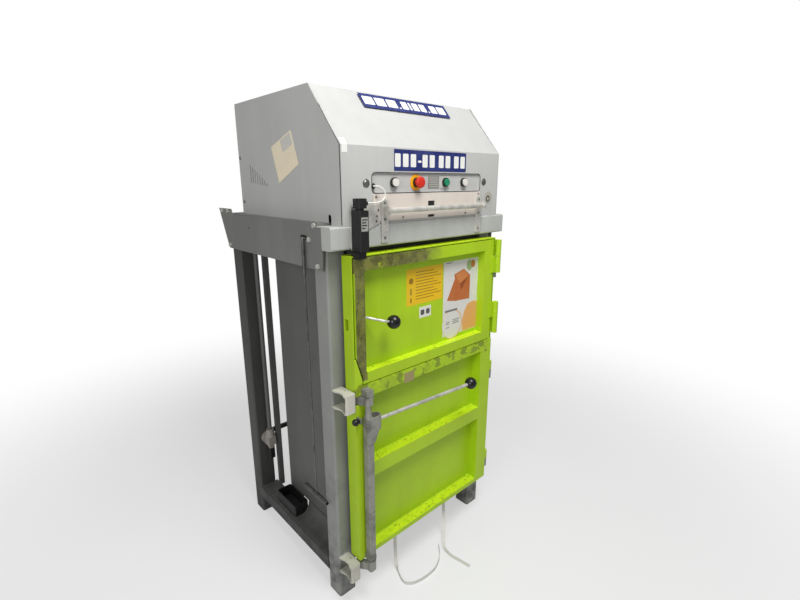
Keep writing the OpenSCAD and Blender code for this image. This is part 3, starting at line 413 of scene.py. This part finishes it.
def make(name, bm, body, material, sharp=35):
    """Turns a bmesh into a piece that rides on a body."""
    bmesh.ops.remove_doubles(bm, verts=bm.verts, dist=1e-6)
    bmesh.ops.recalc_face_normals(bm, faces=bm.faces)
    mesh = bpy.data.meshes.new(name)
    bm.to_mesh(mesh)
    bm.free()
    for face in mesh.polygons:
        face.use_smooth = True
    mesh.set_sharp_from_angle(angle=math.radians(sharp))
    mesh.materials.append(material)
    piece = bpy.data.objects.new(name, mesh)
    bpy.context.scene.collection.objects.link(piece)
    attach(piece, body)
    return piece


def plate(bm, outline, depth):
    """A closed plate from its outline, extruded by a vector."""
    face = bm.faces.new([bm.verts.new(p) for p in outline])
    out = bmesh.ops.extrude_face_region(bm, geom=[face])
    moved = [g for g in out["geom"] if isinstance(g, bmesh.types.BMVert)]
    bmesh.ops.translate(bm, verts=moved, vec=depth)


def front_plate(bm, x0, x1, z0, z1, y, thick, corner=0.0):
    """A rectangle that lies on a face parallel to the front, with round corners."""
    points = rounded(x0, x1, z0, z1, corner)
    plate(bm, [at(x, y, z) for x, z in points], FORWARD * (thick * MM))


def rounded(u0, u1, v0, v1, r, steps=5):
    """Corner points of a rectangle with round corners."""
    if not r:
        return [(u0, v0), (u1, v0), (u1, v1), (u0, v1)]
    points = []
    centres = ((u0 + r, v0 + r, 180), (u1 - r, v0 + r, 270), (u1 - r, v1 - r, 0), (u0 + r, v1 - r, 90))
    for cu, cv, start in centres:
        for i in range(steps):
            a = math.radians(start + 90 * i / (steps - 1))
            points.append((cu + r * math.cos(a), cv + r * math.sin(a)))
    return points


def turned(bm, profile, centre, axis, steps=24):
    """A turned shape: radius and height pairs spun round an axis."""
    side = axis.orthogonal().normalized()
    verts = [bm.verts.new(centre + side * (r * MM) + axis * (h * MM)) for r, h in profile]
    edges = [bm.edges.new(pair) for pair in zip(verts, verts[1:])]
    bmesh.ops.spin(bm, geom=verts + edges, cent=centre, axis=axis, dvec=(0, 0, 0),
                   angle=2 * math.pi, steps=steps, use_merge=True, use_duplicate=False)


def dome_screw(bm, place, axis, r=7.0):
    """A dome head on its washer."""
    turned(bm, [(0, 4.2), (r * 0.35, 4.0), (r * 0.68, 3.0), (r * 0.92, 1.6), (r, 0.9), (r * 1.35, 0.8),
                (r * 1.4, 0.4), (r * 1.4, -0.3)], place, axis, 20)


def bead(name, routes, radius, body, material):
    """Weld beads or thin lines along routes, their thickness rippling as they run."""
    bm = bmesh.new()
    for route in routes:
        for a, b in zip(route, route[1:]):
            along = b - a
            steps = max(2, int(along.length / BEAD_STEP))
            side = along.orthogonal().normalized() * radius
            turns = [Matrix.Rotation(math.radians(60 * k), 3, along) for k in range(6)]
            geom = [bm.faces.new([bm.verts.new(a + turn @ side) for turn in turns])]
            for i in range(steps):
                out = bmesh.ops.extrude_face_region(bm, geom=geom)
                verts = [g for g in out["geom"] if isinstance(g, bmesh.types.BMVert)]
                bmesh.ops.translate(bm, verts=verts, vec=along / steps)
                swell = 1.0 + 0.22 * math.sin(i * 2.4)
                centre = sum((v.co for v in verts), Vector()) / len(verts)
                for v in verts:
                    v.co = centre + (v.co - centre).normalized() * radius * swell
                geom = [g for g in out["geom"] if isinstance(g, bmesh.types.BMFace)]
    return make(name, bm, body, material, sharp=60)


def ribbon(name, route, widths, half_w, half_t, body, material):
    """A flat strap along a route, its width turned as told at each point."""
    bm = bmesh.new()
    uv = bm.loops.layers.uv.new("weave")
    rings = []
    run = 0.0
    for i, p in enumerate(route):
        t = (route[min(i + 1, len(route) - 1)] - route[max(i - 1, 0)]).normalized()
        w = (widths[i] - t * widths[i].dot(t)).normalized()
        n = t.cross(w)
        if i:
            run += (p - route[i - 1]).length
        ring = [p + w * (half_w * a) + n * (half_t * b) for a, b in ((-1, -1), (1, -1), (1, 1), (-1, 1))]
        rings.append(([bm.verts.new(q) for q in ring], run))
    for (low, run0), (high, run1) in zip(rings, rings[1:]):
        for k in range(4):
            face = bm.faces.new((low[k], low[(k + 1) % 4], high[(k + 1) % 4], high[k]))
            across = (0, 1, 1, 0) if k % 2 == 0 else (0, 0, 0, 0)
            for loop, u, v in zip(face.loops, across, (run0, run0, run1, run1)):
                loop[uv].uv = (u, v * WEAVES_PER_METRE)
    bm.faces.new(rings[0][0][::-1])
    bm.faces.new(rings[-1][0])
    return make(name, bm, body, material, sharp=50)


def smooth_route(points, steps):
    """Points of one smooth line through the route's points."""
    route = []
    for i in range(len(points) - 1):
        p0, p1 = points[max(i - 1, 0)], points[i]
        p2, p3 = points[i + 1], points[min(i + 2, len(points) - 1)]
        for k in range(steps):
            t = k / steps
            route.append(0.5 * (2 * p1 + (p2 - p0) * t + (2 * p0 - 5 * p1 + 4 * p2 - p3) * t ** 2
                                + (3 * p1 - p0 - 3 * p2 + p3) * t ** 3))
    return route + [points[-1]]


def dress(nodes, material):
    """Gives CAD nodes their finish."""
    for name in nodes:
        piece = bpy.data.objects[name]
        piece.data.materials.clear()
        piece.data.materials.append(material)


# Settings

class BalerPaint(bpy.types.PropertyGroup):
    hood: bpy.props.FloatVectorProperty(
        name="Hood", description="Paint of the hood", subtype="COLOR_GAMMA",
        size=3, min=0, max=1, default=(0.735, 0.735, 0.725))
    frame: bpy.props.FloatVectorProperty(
        name="Frame", description="Paint of the frame", subtype="COLOR_GAMMA",
        size=3, min=0, max=1, default=(0.57, 0.575, 0.56))
    doors: bpy.props.FloatVectorProperty(
        name="Doors", description="Paint of both doors", subtype="COLOR_GAMMA",
        size=3, min=0, max=1, default=(0.68, 0.82, 0.09))
    strip: bpy.props.FloatVectorProperty(
        name="Strips", description="Printed strips on the hood", subtype="COLOR_GAMMA",
        size=3, min=0, max=1, default=(0.09, 0.14, 0.40))
    strap: bpy.props.FloatVectorProperty(
        name="Straps", description="Polyester straps", subtype="COLOR_GAMMA",
        size=3, min=0, max=1, default=(0.92, 0.91, 0.88))


class BalerSizes(bpy.types.PropertyGroup):
    weld: bpy.props.FloatProperty(
        name="Weld", description="Radius of the weld beads",
        default=0.0028, min=0.001, max=0.006, unit="LENGTH", subtype="DISTANCE")
    screw: bpy.props.FloatProperty(
        name="Screw head", description="Radius of a screw head in millimetres",
        default=7.0, min=3.0, max=10.0)
    film: bpy.props.FloatProperty(
        name="Label", description="Thickness of a label in millimetres",
        default=0.5, min=0.2, max=1.0)
    strap_width: bpy.props.FloatProperty(
        name="Strap width", description="Width of a strap",
        default=0.015, min=0.009, max=0.016, unit="LENGTH", subtype="DISTANCE")
    strap_thick: bpy.props.FloatProperty(
        name="Strap thickness", description="Thickness of a strap",
        default=0.0010, min=0.0004, max=0.002, unit="LENGTH", subtype="DISTANCE")


class BalerStage(bpy.types.PropertyGroup):
    floor: bpy.props.FloatVectorProperty(
        name="Floor", description="Colour of the floor", subtype="COLOR_GAMMA",
        size=3, min=0, max=1, default=(0.90, 0.90, 0.90))
    bright: bpy.props.FloatVectorProperty(
        name="White floor", description="How far out the floor starts to fade and is white",
        size=2, min=0, default=(1.2, 3.6))
    key: bpy.props.FloatProperty(
        name="Overhead lamp", description="Power of the overhead lamp", default=68.0, min=0.0, unit="POWER")
    fill: bpy.props.FloatProperty(
        name="Fill lamp", description="Power of the fill lamp", default=44.0, min=0.0, unit="POWER")
    world: bpy.props.FloatProperty(
        name="World", description="Strength of the world's light", default=0.30, min=0.0, max=2.0)


# Operators

def area_lamp(name, place, target, size, power):
    """A round lamp at a place that looks at its target."""
    lamp = bpy.data.lights.new(name, "AREA")
    lamp.shape = "DISK"
    lamp.size = size
    lamp.energy = power
    piece = bpy.data.objects.new(name, lamp)
    bpy.context.scene.collection.objects.link(piece)
    piece.location = place
    piece.rotation_euler = (Vector(target) - Vector(place)).to_track_quat("-Z", "Y").to_euler()


def plain_world(strength):
    """A plain world that looks white and lights the object at its own strength."""
    world = bpy.data.worlds.new("plain")
    bpy.context.scene.world = world
    world.use_nodes = True
    s = Shader.on(world.node_tree)
    back = world.node_tree.nodes["Background"]
    back.inputs["Color"].default_value = (1, 1, 1, 1)
    level = s.step(s.node("ShaderNodeLightPath", output="Is Camera Ray"), 0.0, 1.0, strength, 1.0)
    world.node_tree.links.new(level.socket, back.inputs["Strength"])


def floor_finish(colour, bright):
    """A pale floor that keeps the shadow and fades to white away from the object."""
    s = Shader("floor")
    cloud = s.noise(1.5, 3.0)
    base = linear(colour)
    s.finish(s.mix(cloud * 0.08, base, tuple(c * 0.92 for c in base[:3]) + (1,)), 0.75)
    far = s.node("ShaderNodeVectorMath", {"operation": "LENGTH"}, {0: s.point}, "Value")
    fade = s.step(far, *bright, 0.5, 1.0) * s.node("ShaderNodeLightPath", output="Is Camera Ray")
    glow = s.node("ShaderNodeEmission", inputs={"Color": (1, 1, 1, 1), "Strength": 1.0}, output="Emission")
    plain = Wire(s, s.surface.outputs[0])
    blend = s.node("ShaderNodeMixShader", inputs={0: fade, 1: plain, 2: glow}, output="Shader")
    out = s.tree.nodes["Material Output"]
    s.tree.links.new(blend.socket, out.inputs["Surface"])
    return s.material


class BALER_OT_stage(bpy.types.Operator):
    """Add the camera, the lamps, the world and the floor"""
    bl_idname = "baler.stage"
    bl_label = "Stage"

    def execute(self, context):
        scene = context.scene
        stage = scene.baler_stage
        scene.view_settings.view_transform = "Standard"
        camera = bpy.data.cameras.new("camera")
        camera.sensor_width = 36
        camera.sensor_fit = "HORIZONTAL"
        camera.lens = CAMERA_LENS
        view = bpy.data.objects.new("camera", camera)
        scene.collection.objects.link(view)
        view.location = at(*CAMERA_PLACE)
        view.rotation_euler = [math.radians(angle) for angle in CAMERA_TURN]
        scene.camera = view
        area_lamp("overhead", *OVERHEAD, stage.key)
        area_lamp("fill", *FILL, stage.fill)
        plain_world(stage.world)
        bm = bmesh.new()
        bmesh.ops.create_circle(bm, cap_ends=True, segments=96, radius=FLOOR_RADIUS)
        mesh = bpy.data.meshes.new("floor")
        bm.to_mesh(mesh)
        bm.free()
        floor = bpy.data.objects.new("floor", mesh)
        scene.collection.objects.link(floor)
        mesh.materials.append(floor_finish(stage.floor, stage.bright))
        return {"FINISHED"}


def way_out(x):
    """Out of the channel and round the edge of the chamber's floor."""
    bend = [math.radians(a) for a in range(90, 181, 15)]
    return [(x, 38, FLOOR_Z - 12)] + [(x, 13.5 + BEND * math.cos(a), FLOOR_Z - 37 + BEND * math.sin(a))
                                      for a in bend]


def eased(value, low, high):
    """A smooth rise from 0 to 1 between two values."""
    part = min(1.0, max(0.0, (value - low) / (high - low)))
    return part * part * (3 - 2 * part)


LEFT_ROUTE = way_out(-160) + [
    (-160, -17, 160), (-161, -18, 110), (-164, -24, 62), (-172, -36, 30),
    (-183, -54, 13), (-197, -83, 8), (-208, -113, 8), (-209, -136, 8),
    (-196, -153, 8), (-175, -164, 8), (-142, -172, 8), (-100, -175, 8), (-58, -171, 8),
    (-16, -153, 8), (16, -129, 8), (50, -90, 8),
]
RIGHT_ROUTE = way_out(162) + [
    (162, -17, 165), (156, -22, 128), (141, -40, 85), (113, -68, 44), (84, -92, 19),
    (64, -113, 9), (54, -143, 8), (53, -175, 8), (60, -215, 8), (68, -264, 8),
]


class BALER_OT_straps(bpy.types.Operator):
    """Lay the two straps from their channels to their ends"""
    bl_idname = "baler.straps"
    bl_label = "Straps"

    def execute(self, context):
        sizes = context.scene.baler_sizes
        fibre = strap_fibre("strap_fibre", context.scene.baler_paint.strap)
        half_w, half_t = sizes.strap_width / 2, sizes.strap_thick / 2
        across, toward, upright = Vector((1, 0, 0)), Vector((0.74, -0.68, 0)), Vector((0, 0, 1))
        for name, node, points, edge in (("left_strap", "strap_a", LEFT_ROUTE, True),
                                         ("right_strap", "strap_b", RIGHT_ROUTE, False)):
            lying = [Vector(p) if edge or p[2] > LIES_BELOW else Vector((p[0], p[1], LIES_AT))
                     for p in points]
            route = [at(*p) for p in smooth_route(lying, ROUTE_STEPS)]
            turns = []
            for i in range(len(route)):
                t = (route[min(i + 1, len(route) - 1)] - route[max(i - 1, 0)]).normalized()
                turn = across.lerp(toward, eased(i / ROUTE_STEPS, *TURNS_OUT))
                over = upright if edge else t.cross(-upright)
                turns.append(turn.lerp(over, eased(i / ROUTE_STEPS, *TURNS_OVER)))
            strap = ribbon(name, route, turns, half_w, half_t, "frame", fibre)
            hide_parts(node)
        return {"FINISHED"}


class BALER_OT_frame_paint(bpy.types.Operator):
    """Paint the frame, the chamber and the hood"""
    bl_idname = "baler.frame_paint"
    bl_label = "Frame and hood paint"

    def execute(self, context):
        colours = context.scene.baler_paint
        post = frame_paint("frame_paint", colours.frame, dirt=0.85, chips=0.37)
        dress(["front_columns", "hinge_posts"], post)
        # A darker copy of the frame paint: painted shade on the chamber's walls, tray, floor plates,
        # channels and conduits.
        inner = frame_paint("inner_paint_shaded", [c * 0.66 for c in colours.frame], dirt=0.5, chips=0.36)
        dress(["tray_left", "wall_left", "wall_right", "wall_rear", "floor_plates", "strap_channels",
               "conduits"], inner)
        # A still darker copy: painted shade on the rear columns and the side and cross rails.
        dress(["rear_columns", "side_rails", "cross_rails"],
              frame_paint("rail_paint_shaded", [c * 0.50 for c in colours.frame], dirt=0.6, chips=0.38))
        dress(["keepers"], frame_paint("keeper_paint", (0.78, 0.77, 0.72), dirt=0.35, chips=0.40))
        dress(["front_beam"],
              frame_paint("beam_paint", [min(1, c * 1.28) for c in colours.frame], dirt=0.3, chips=0.37))
        dress(["side_plates", "top_deck"],
              frame_paint("plate_paint", [c * 0.85 for c in colours.frame], dirt=0.3, chips=0.37))
        cover = frame_paint("hood_paint", colours.hood, tone=0.03, dirt=0.12, chips=0.26, gloss=0.45)
        dress(["hood", "hood_front", "control_panel"], cover)
        dress(["lower_cover"],
              frame_paint("cover_paint", (0.86, 0.82, 0.78), tone=0.04, dirt=0.2, chips=0.30))
        return {"FINISHED"}


class BALER_OT_door_paint(bpy.types.Operator):
    """Paint both doors with their wear"""
    bl_idname = "baler.door_paint"
    bl_label = "Door paint"

    def execute(self, context):
        lime = context.scene.baler_paint.doors
        dress(["door_frame", "door_surround", "door_panel", "door_knuckles", "hatch_knuckles"],
              door_paint("door_paint", lime))
        dress(["hatch_frame", "hatch_panel"], hatch_paint("hatch_paint", lime))
        return {"FINISHED"}


class BALER_OT_fittings(bpy.types.Operator):
    """Finish the lock, the levers, the controls and the inner pieces"""
    bl_idname = "baler.fittings"
    bl_label = "Fittings"

    def execute(self, context):
        lock = metal("lock_steel", (0.60, 0.60, 0.57), 0.48, (1, 1, 0.08), 0.5, 0.10, 0.35)
        dress(["lock_bar", "lock_bearings"], lock)
        dress(["lock_lever"],
              metal("lever_steel", (0.80, 0.79, 0.76), 0.46, (0.08, 1, 1), 0.45, 0.05, 0.35))
        bright = metal("bright_steel", (0.88, 0.87, 0.84), 0.30, (0.06, 1, 1), 0.25, 0.0, 0.45)
        dress(["guard_bar", "guard_brackets", "switch_bracket", "bolts", "latch_lever", "piston_rod",
               "piston_stage"], bright)
        dress(["threading_rod", "strap_axle"],
              metal("dull_steel", (0.50, 0.50, 0.49), 0.42, (1, 1, 0.1), 0.5, 0.08))
        dress(["cylinder_barrel", "power_pack", "platen"],
              frame_paint("dark_paint", (0.20, 0.21, 0.22), dirt=0.4, chips=0.38))
        black = plastic("black_plastic", (0.045, 0.045, 0.05), 0.22, 0.08)
        dress(["lever_knob", "latch_knob", "catch_pin"], black)
        dress(["door_switch", "switch_actuator", "buckle_box"],
              plastic("dark_plastic", (0.07, 0.07, 0.075), 0.42, 0.2))
        white = plastic("white_plastic", (0.86, 0.85, 0.82), 0.35, 0.05)
        dress(["power_inlet"], inlet_plastic("inlet_plastic", (0.58, 0.56, 0.53), (0.08, 0.07, 0.07)))
        dress(["push_left", "push_right", "switch_cable", "strap_roll_left", "strap_roll_right"], white)
        dress(["estop_button"], plastic("red_plastic", (0.80, 0.17, 0.10), 0.33, 0.05))
        dress(["start_button"], plastic("green_plastic", (0.10, 0.52, 0.36), 0.33, 0.05))
        dress(["button_rings"], plastic("ring_plastic", (0.09, 0.09, 0.10), 0.35, 0.1))
        dress(["legend_plates"], legend_film("legend_film", (0.95, 0.68, 0.06), (0.74, 0.74, 0.72)))
        return {"FINISHED"}


class BALER_OT_hood_fittings(bpy.types.Operator):
    """Add the strips, labels, card, screws and seam of the hood, and dark films that paint the shade in the
    panel's groove and in the cover's slots
    """
    bl_idname = "baler.hood_fittings"
    bl_label = "Hood fittings"

    def execute(self, context):
        sizes, colours = context.scene.baler_sizes, context.scene.baler_paint
        film = sizes.film
        out = Vector((0, -SLOPE_UP.z, SLOPE_UP.y))

        def on_slope(x, up):
            return at(*(Vector((x, 0, 0)) + SLOPE_FOOT + SLOPE_UP * up + out * 0.2))

        bm = bmesh.new()
        front_plate(bm, *LOW_STRIP, HOOD_FRONT, film)
        plate(bm, [on_slope(*p) for p in HIGH_STRIP], out * film * MM)
        make("strips", bm, "frame", print_film("strip_film", colours.strip, 0.45))
        bm = bmesh.new()
        for i, x0 in enumerate(LOW_MARKS):
            wide, low, high = (18, 1738, 1746) if i == LOW_DASH else (27, 1722, 1767)
            front_plate(bm, x0, x0 + wide, low, high, HOOD_FRONT - film, MARK_FILM, corner=4)
        for x0, x1 in HIGH_MARKS:
            low, high = (196, 204) if x1 - x0 == DOT_WIDTH else (197, 236)
            plate(bm, [on_slope(x, up) + out * film * MM for x, up in rounded(x0, x1, low, high, 4)],
                  out * MARK_FILM * MM)
        white = print_film("white_film", (0.90, 0.90, 0.88))
        make("strip_marks", bm, "frame", white)

        bm = bmesh.new()
        front_plate(bm, -411, -389, 1762, 1786, HOOD_FRONT, film)
        plate(bm, [on_slope(*p) for p in ((-411, 0), (-389, 0), (-389, 26), (-411, 26))],
              out * film * MM)
        make("tag", bm, "frame", white)

        for name, colour, proud, thick, corners in (
                ("card", (0.93, 0.88, 0.77), 0.3, 0.4, CARD),
                ("card_field", (0.80, 0.79, 0.76), 0.7, 0.2, CARD_FIELD)):
            bm = bmesh.new()
            plate(bm, [at(HOOD_SIDE - proud, y, z) for y, z in corners], LEFTWARD * (thick * MM))
            make(name, bm, "frame", print_film(name + "_film", colour, 0.6))

        bm = bmesh.new()
        for plane, share, places in FRONT_SCREWS:
            for x, z in places:
                dome_screw(bm, at(x, plane, z), FORWARD, sizes.screw * share)
        for y, z in SIDE_SCREWS:
            dome_screw(bm, at(HOOD_SIDE, y, z), LEFTWARD, sizes.screw * 0.7)
        make("hood_screws", bm, "frame", metal("screw_steel", (0.55, 0.55, 0.53), 0.38))
        dark = bpy.data.materials["dark_plastic"]
        side, foot = HOOD_SIDE + 0.4, HOOD_FRONT - 0.2
        seam = [[at(side, foot, 1535), at(side, foot, 1786), on_slope(side, 170)]]
        bead("hood_seam", seam, 0.0009, "frame", dark)
        # A dark ring round the panel's window: painted shade of the gap between the panel and the hood
        # front.
        groove = [at(x, HOOD_FRONT - 0.2, z) for x, z in rounded(-291, 295, 1633, 1702, 15)]
        bead("panel_groove_shade", [groove + groove[:1]], 0.0014, "frame", dark)
        # Dark films on the hood front behind the cover's slots: painted shade inside the slots.
        bm = bmesh.new()
        for z0, z1 in ((1540.5, 1550.5), (1574.5, 1601.5)):
            front_plate(bm, -21, 16, z0, z1, HOOD_FRONT, 0.4, corner=3)
        make("cover_slot_shade", bm, "frame", dark)

        bm = bmesh.new()
        turned(bm, [(0, 0.5), (24, 0.5), (26, 0.3), (26, -0.2)], at(357, HOOD_FRONT, 1604),
               FORWARD, 32)
        make("round_label", bm, "frame", print_film("grey_film", (0.66, 0.65, 0.60)))
        bm = bmesh.new()
        turned(bm, [(8, 0.5), (8, 0.8), (13, 0.8), (13, 0.5)], at(354, HOOD_FRONT, 1600), FORWARD)
        make("round_label_ring", bm, "frame", dark)
        return {"FINISHED"}


class BALER_OT_controls(bpy.types.Operator):
    """Add the plate and the grommet of the control panel, and the label of the door switch"""
    bl_idname = "baler.controls"
    bl_label = "Controls"

    def execute(self, context):
        film = context.scene.baler_sizes.film
        dark = bpy.data.materials["dark_plastic"]
        bm = bmesh.new()
        front_plate(bm, -14, 46, 1645, 1691, PANEL_FRONT, film, corner=2)
        make("grey_plate", bm, "frame", print_film("plate_film", (0.52, 0.51, 0.49)))
        bm = bmesh.new()
        for z in (1652, 1660, 1668, 1676, 1684):
            front_plate(bm, -8, 40, z, z + 2.5, PANEL_FRONT - film, 0.1)
        make("grey_plate_lines", bm, "frame",
             print_film("line_film", (0.68, 0.67, 0.64)))
        bm = bmesh.new()
        turned(bm, [(3.5, 1), (3.5, 5), (5, 7), (9, 6), (10, 3), (10, 0), (3.5, 0)],
               at(-284, PANEL_FRONT, 1657), FORWARD)
        make("rubber_rings", bm, "frame", dark)
        bm = bmesh.new()
        front_plate(bm, -383, -355, 1515, 1560, SWITCH_FRONT, film)
        make("switch_label", bm, "frame",
             print_film("silver_film", (0.60, 0.60, 0.58), 0.3))
        bm = bmesh.new()
        for z, wide in ((1550, 22), (1541, 16), (1532, 20), (1523, 12)):
            front_plate(bm, -380, -380 + wide, z, z + 4, SWITCH_FRONT - film, 0.1)
        make("switch_label_marks", bm, "frame", dark)
        return {"FINISHED"}


class BALER_OT_door_labels(bpy.types.Operator):
    """Stick the plain labels on the doors"""
    bl_idname = "baler.door_labels"
    bl_label = "Door labels"

    def execute(self, context):
        film = context.scene.baler_sizes.film

        def field(name, colour, shapes, layer):
            """Flat shapes of one colour, a print's layers lying on each other."""
            bm = bmesh.new()
            y = HATCH_PANEL - layer * PRINT_LAYER
            for shape in shapes:
                plate(bm, [at(x, y, z) for x, z in shape], FORWARD * (PRINT_LAYER * MM))
            make(name, bm, "loading_door", print_film(name + "_film", colour))

        def disc(cx, cz, r, squash=1.0, steps=32):
            """Outline of a round or oval spot."""
            angles = [2 * math.pi * i / steps for i in range(steps)]
            return [(cx + r * math.cos(a), cz + r * squash * math.sin(a)) for a in angles]

        field("notice", (0.92, 0.74, 0.06), [rounded(-115, 91, 1197, 1344, 3)], 0)
        rows = [rounded(-65, 60 + 22 * ((i * 7) % 3 - 1), 1326 - 12 * i, 1329 - 12 * i, 0)
                for i in range(10)]
        marks = [disc(-90, 1296, 12), rounded(-95, -87, 1240, 1266, 2), rounded(-95, -87, 1208, 1228, 2)]
        field("notice_marks", (0.60, 0.46, 0.06), rows + marks, 1)
        field("small_label", (0.88, 0.88, 0.84), [rounded(-44, 24, 1136, 1182, 2)], 0)
        field("small_label_marks", (0.30, 0.30, 0.30),
              [rounded(-36, -15, 1148, 1170, 6), rounded(-5, 16, 1148, 1170, 6)], 1)
        field("poster", (0.87, 0.86, 0.84), [rounded(98, 327, 1020, 1347, 2)], 0)
        box = [(122, 1180), (170, 1270), (165, 1288), (228, 1306), (272, 1272), (272, 1166), (180, 1170)]
        field("poster_box", (0.74, 0.40, 0.18), [box], 1)
        field("poster_fold", (0.82, 0.50, 0.27),
              [[(172, 1285), (228, 1304), (262, 1272), (205, 1244)]], 2)
        field("poster_shade", (0.58, 0.29, 0.12), [[(205, 1243), (262, 1271), (212, 1212)]], 2)
        leaf = [(229, 1022), (326, 1022), (326, 1144), (300, 1150), (262, 1142), (238, 1110), (226, 1070)]
        field("poster_round", (0.90, 0.66, 0.38), [leaf], 1)
        field("poster_ring", (0.88, 0.70, 0.48), [disc(160, 1068, 66)], 1)
        field("poster_disc", (0.87, 0.86, 0.84), [disc(157, 1068, 62)], 2)
        field("poster_leaf", (0.60, 0.68, 0.48), [disc(266, 1318, 20, 1.2)], 1)
        field("poster_leaf_b", (0.72, 0.42, 0.20), [disc(290, 1322, 14, 1.2)], 2)
        lines = ((112, 190, 1128, 1136), (112, 150, 1340, 1343), (118, 142, 1080, 1083),
                 (118, 138, 1072, 1075), (118, 140, 1056, 1059), (160, 206, 1086, 1089),
                 (160, 200, 1078, 1081), (160, 204, 1070, 1073))
        field("poster_lines", (0.45, 0.44, 0.43), [rounded(*line, 0) for line in lines], 3)

        bm = bmesh.new()
        front_plate(bm, -161, -106, 900, 943, DOOR_FRONT, film, corner=1)
        make("tape", bm, "bale_door", print_film("tape_film", (0.60, 0.55, 0.36), 0.55))
        return {"FINISHED"}


class BALER_OT_welds(bpy.types.Operator):
    """Run the weld beads of the doors and the frame"""
    bl_idname = "baler.welds"
    bl_label = "Welds"

    def execute(self, context):
        r = context.scene.baler_sizes.weld
        left, right, back = -341, 326, -31
        upright = [[at(x, DOOR_FRONT + 4, z), at(x, back, z)]
                   for rail in ((906, 956), (560, 622)) for x in (left, right) for z in rail]
        level = [[at(left, back, z), at(right, back, z)] for z in (228, 560, 622, 906)]
        bead("door_welds", upright + level, r, "bale_door", bpy.data.materials["door_paint"])
        keepers = [[at(-448, -1, z), at(-405, -1, z)] for z in (868, 940, 132, 204)]
        bead("keeper_welds", keepers, r, "frame", bpy.data.materials["frame_paint"])
        return {"FINISHED"}


class BALER_PT_panel(bpy.types.Panel):
    """Lists the steps that dress the baler"""
    bl_idname = "BALER_PT_panel"
    bl_label = "Recycling Baler"
    bl_space_type = "VIEW_3D"
    bl_region_type = "UI"
    bl_category = "Baler"

    def draw(self, context):
        scene = context.scene
        for operator in OPERATORS:
            self.layout.operator(operator.bl_idname)
        for settings in (scene.baler_paint, scene.baler_sizes, scene.baler_stage):
            for name in settings.__annotations__:
                self.layout.prop(settings, name)


OPERATORS = (BALER_OT_stage, BALER_OT_straps, BALER_OT_frame_paint, BALER_OT_door_paint, BALER_OT_fittings,
             BALER_OT_hood_fittings, BALER_OT_controls, BALER_OT_door_labels, BALER_OT_welds)
CLASSES = (BalerPaint, BalerSizes, BalerStage) + OPERATORS + (BALER_PT_panel,)


def register():
    for cls in CLASSES:
        bpy.utils.register_class(cls)
    bpy.types.Scene.baler_paint = bpy.props.PointerProperty(type=BalerPaint)
    bpy.types.Scene.baler_sizes = bpy.props.PointerProperty(type=BalerSizes)
    bpy.types.Scene.baler_stage = bpy.props.PointerProperty(type=BalerStage)


def unregister():
    del bpy.types.Scene.baler_stage
    del bpy.types.Scene.baler_sizes
    del bpy.types.Scene.baler_paint
    for cls in reversed(CLASSES):
        bpy.utils.unregister_class(cls)


def main():
    register()
    bpy.ops.baler.stage()
    bpy.ops.baler.straps()
    bpy.ops.baler.frame_paint()
    bpy.ops.baler.door_paint()
    bpy.ops.baler.fittings()
    bpy.ops.baler.hood_fittings()
    bpy.ops.baler.controls()
    bpy.ops.baler.door_labels()
    bpy.ops.baler.welds()


if __name__ == "__main__":
    main()
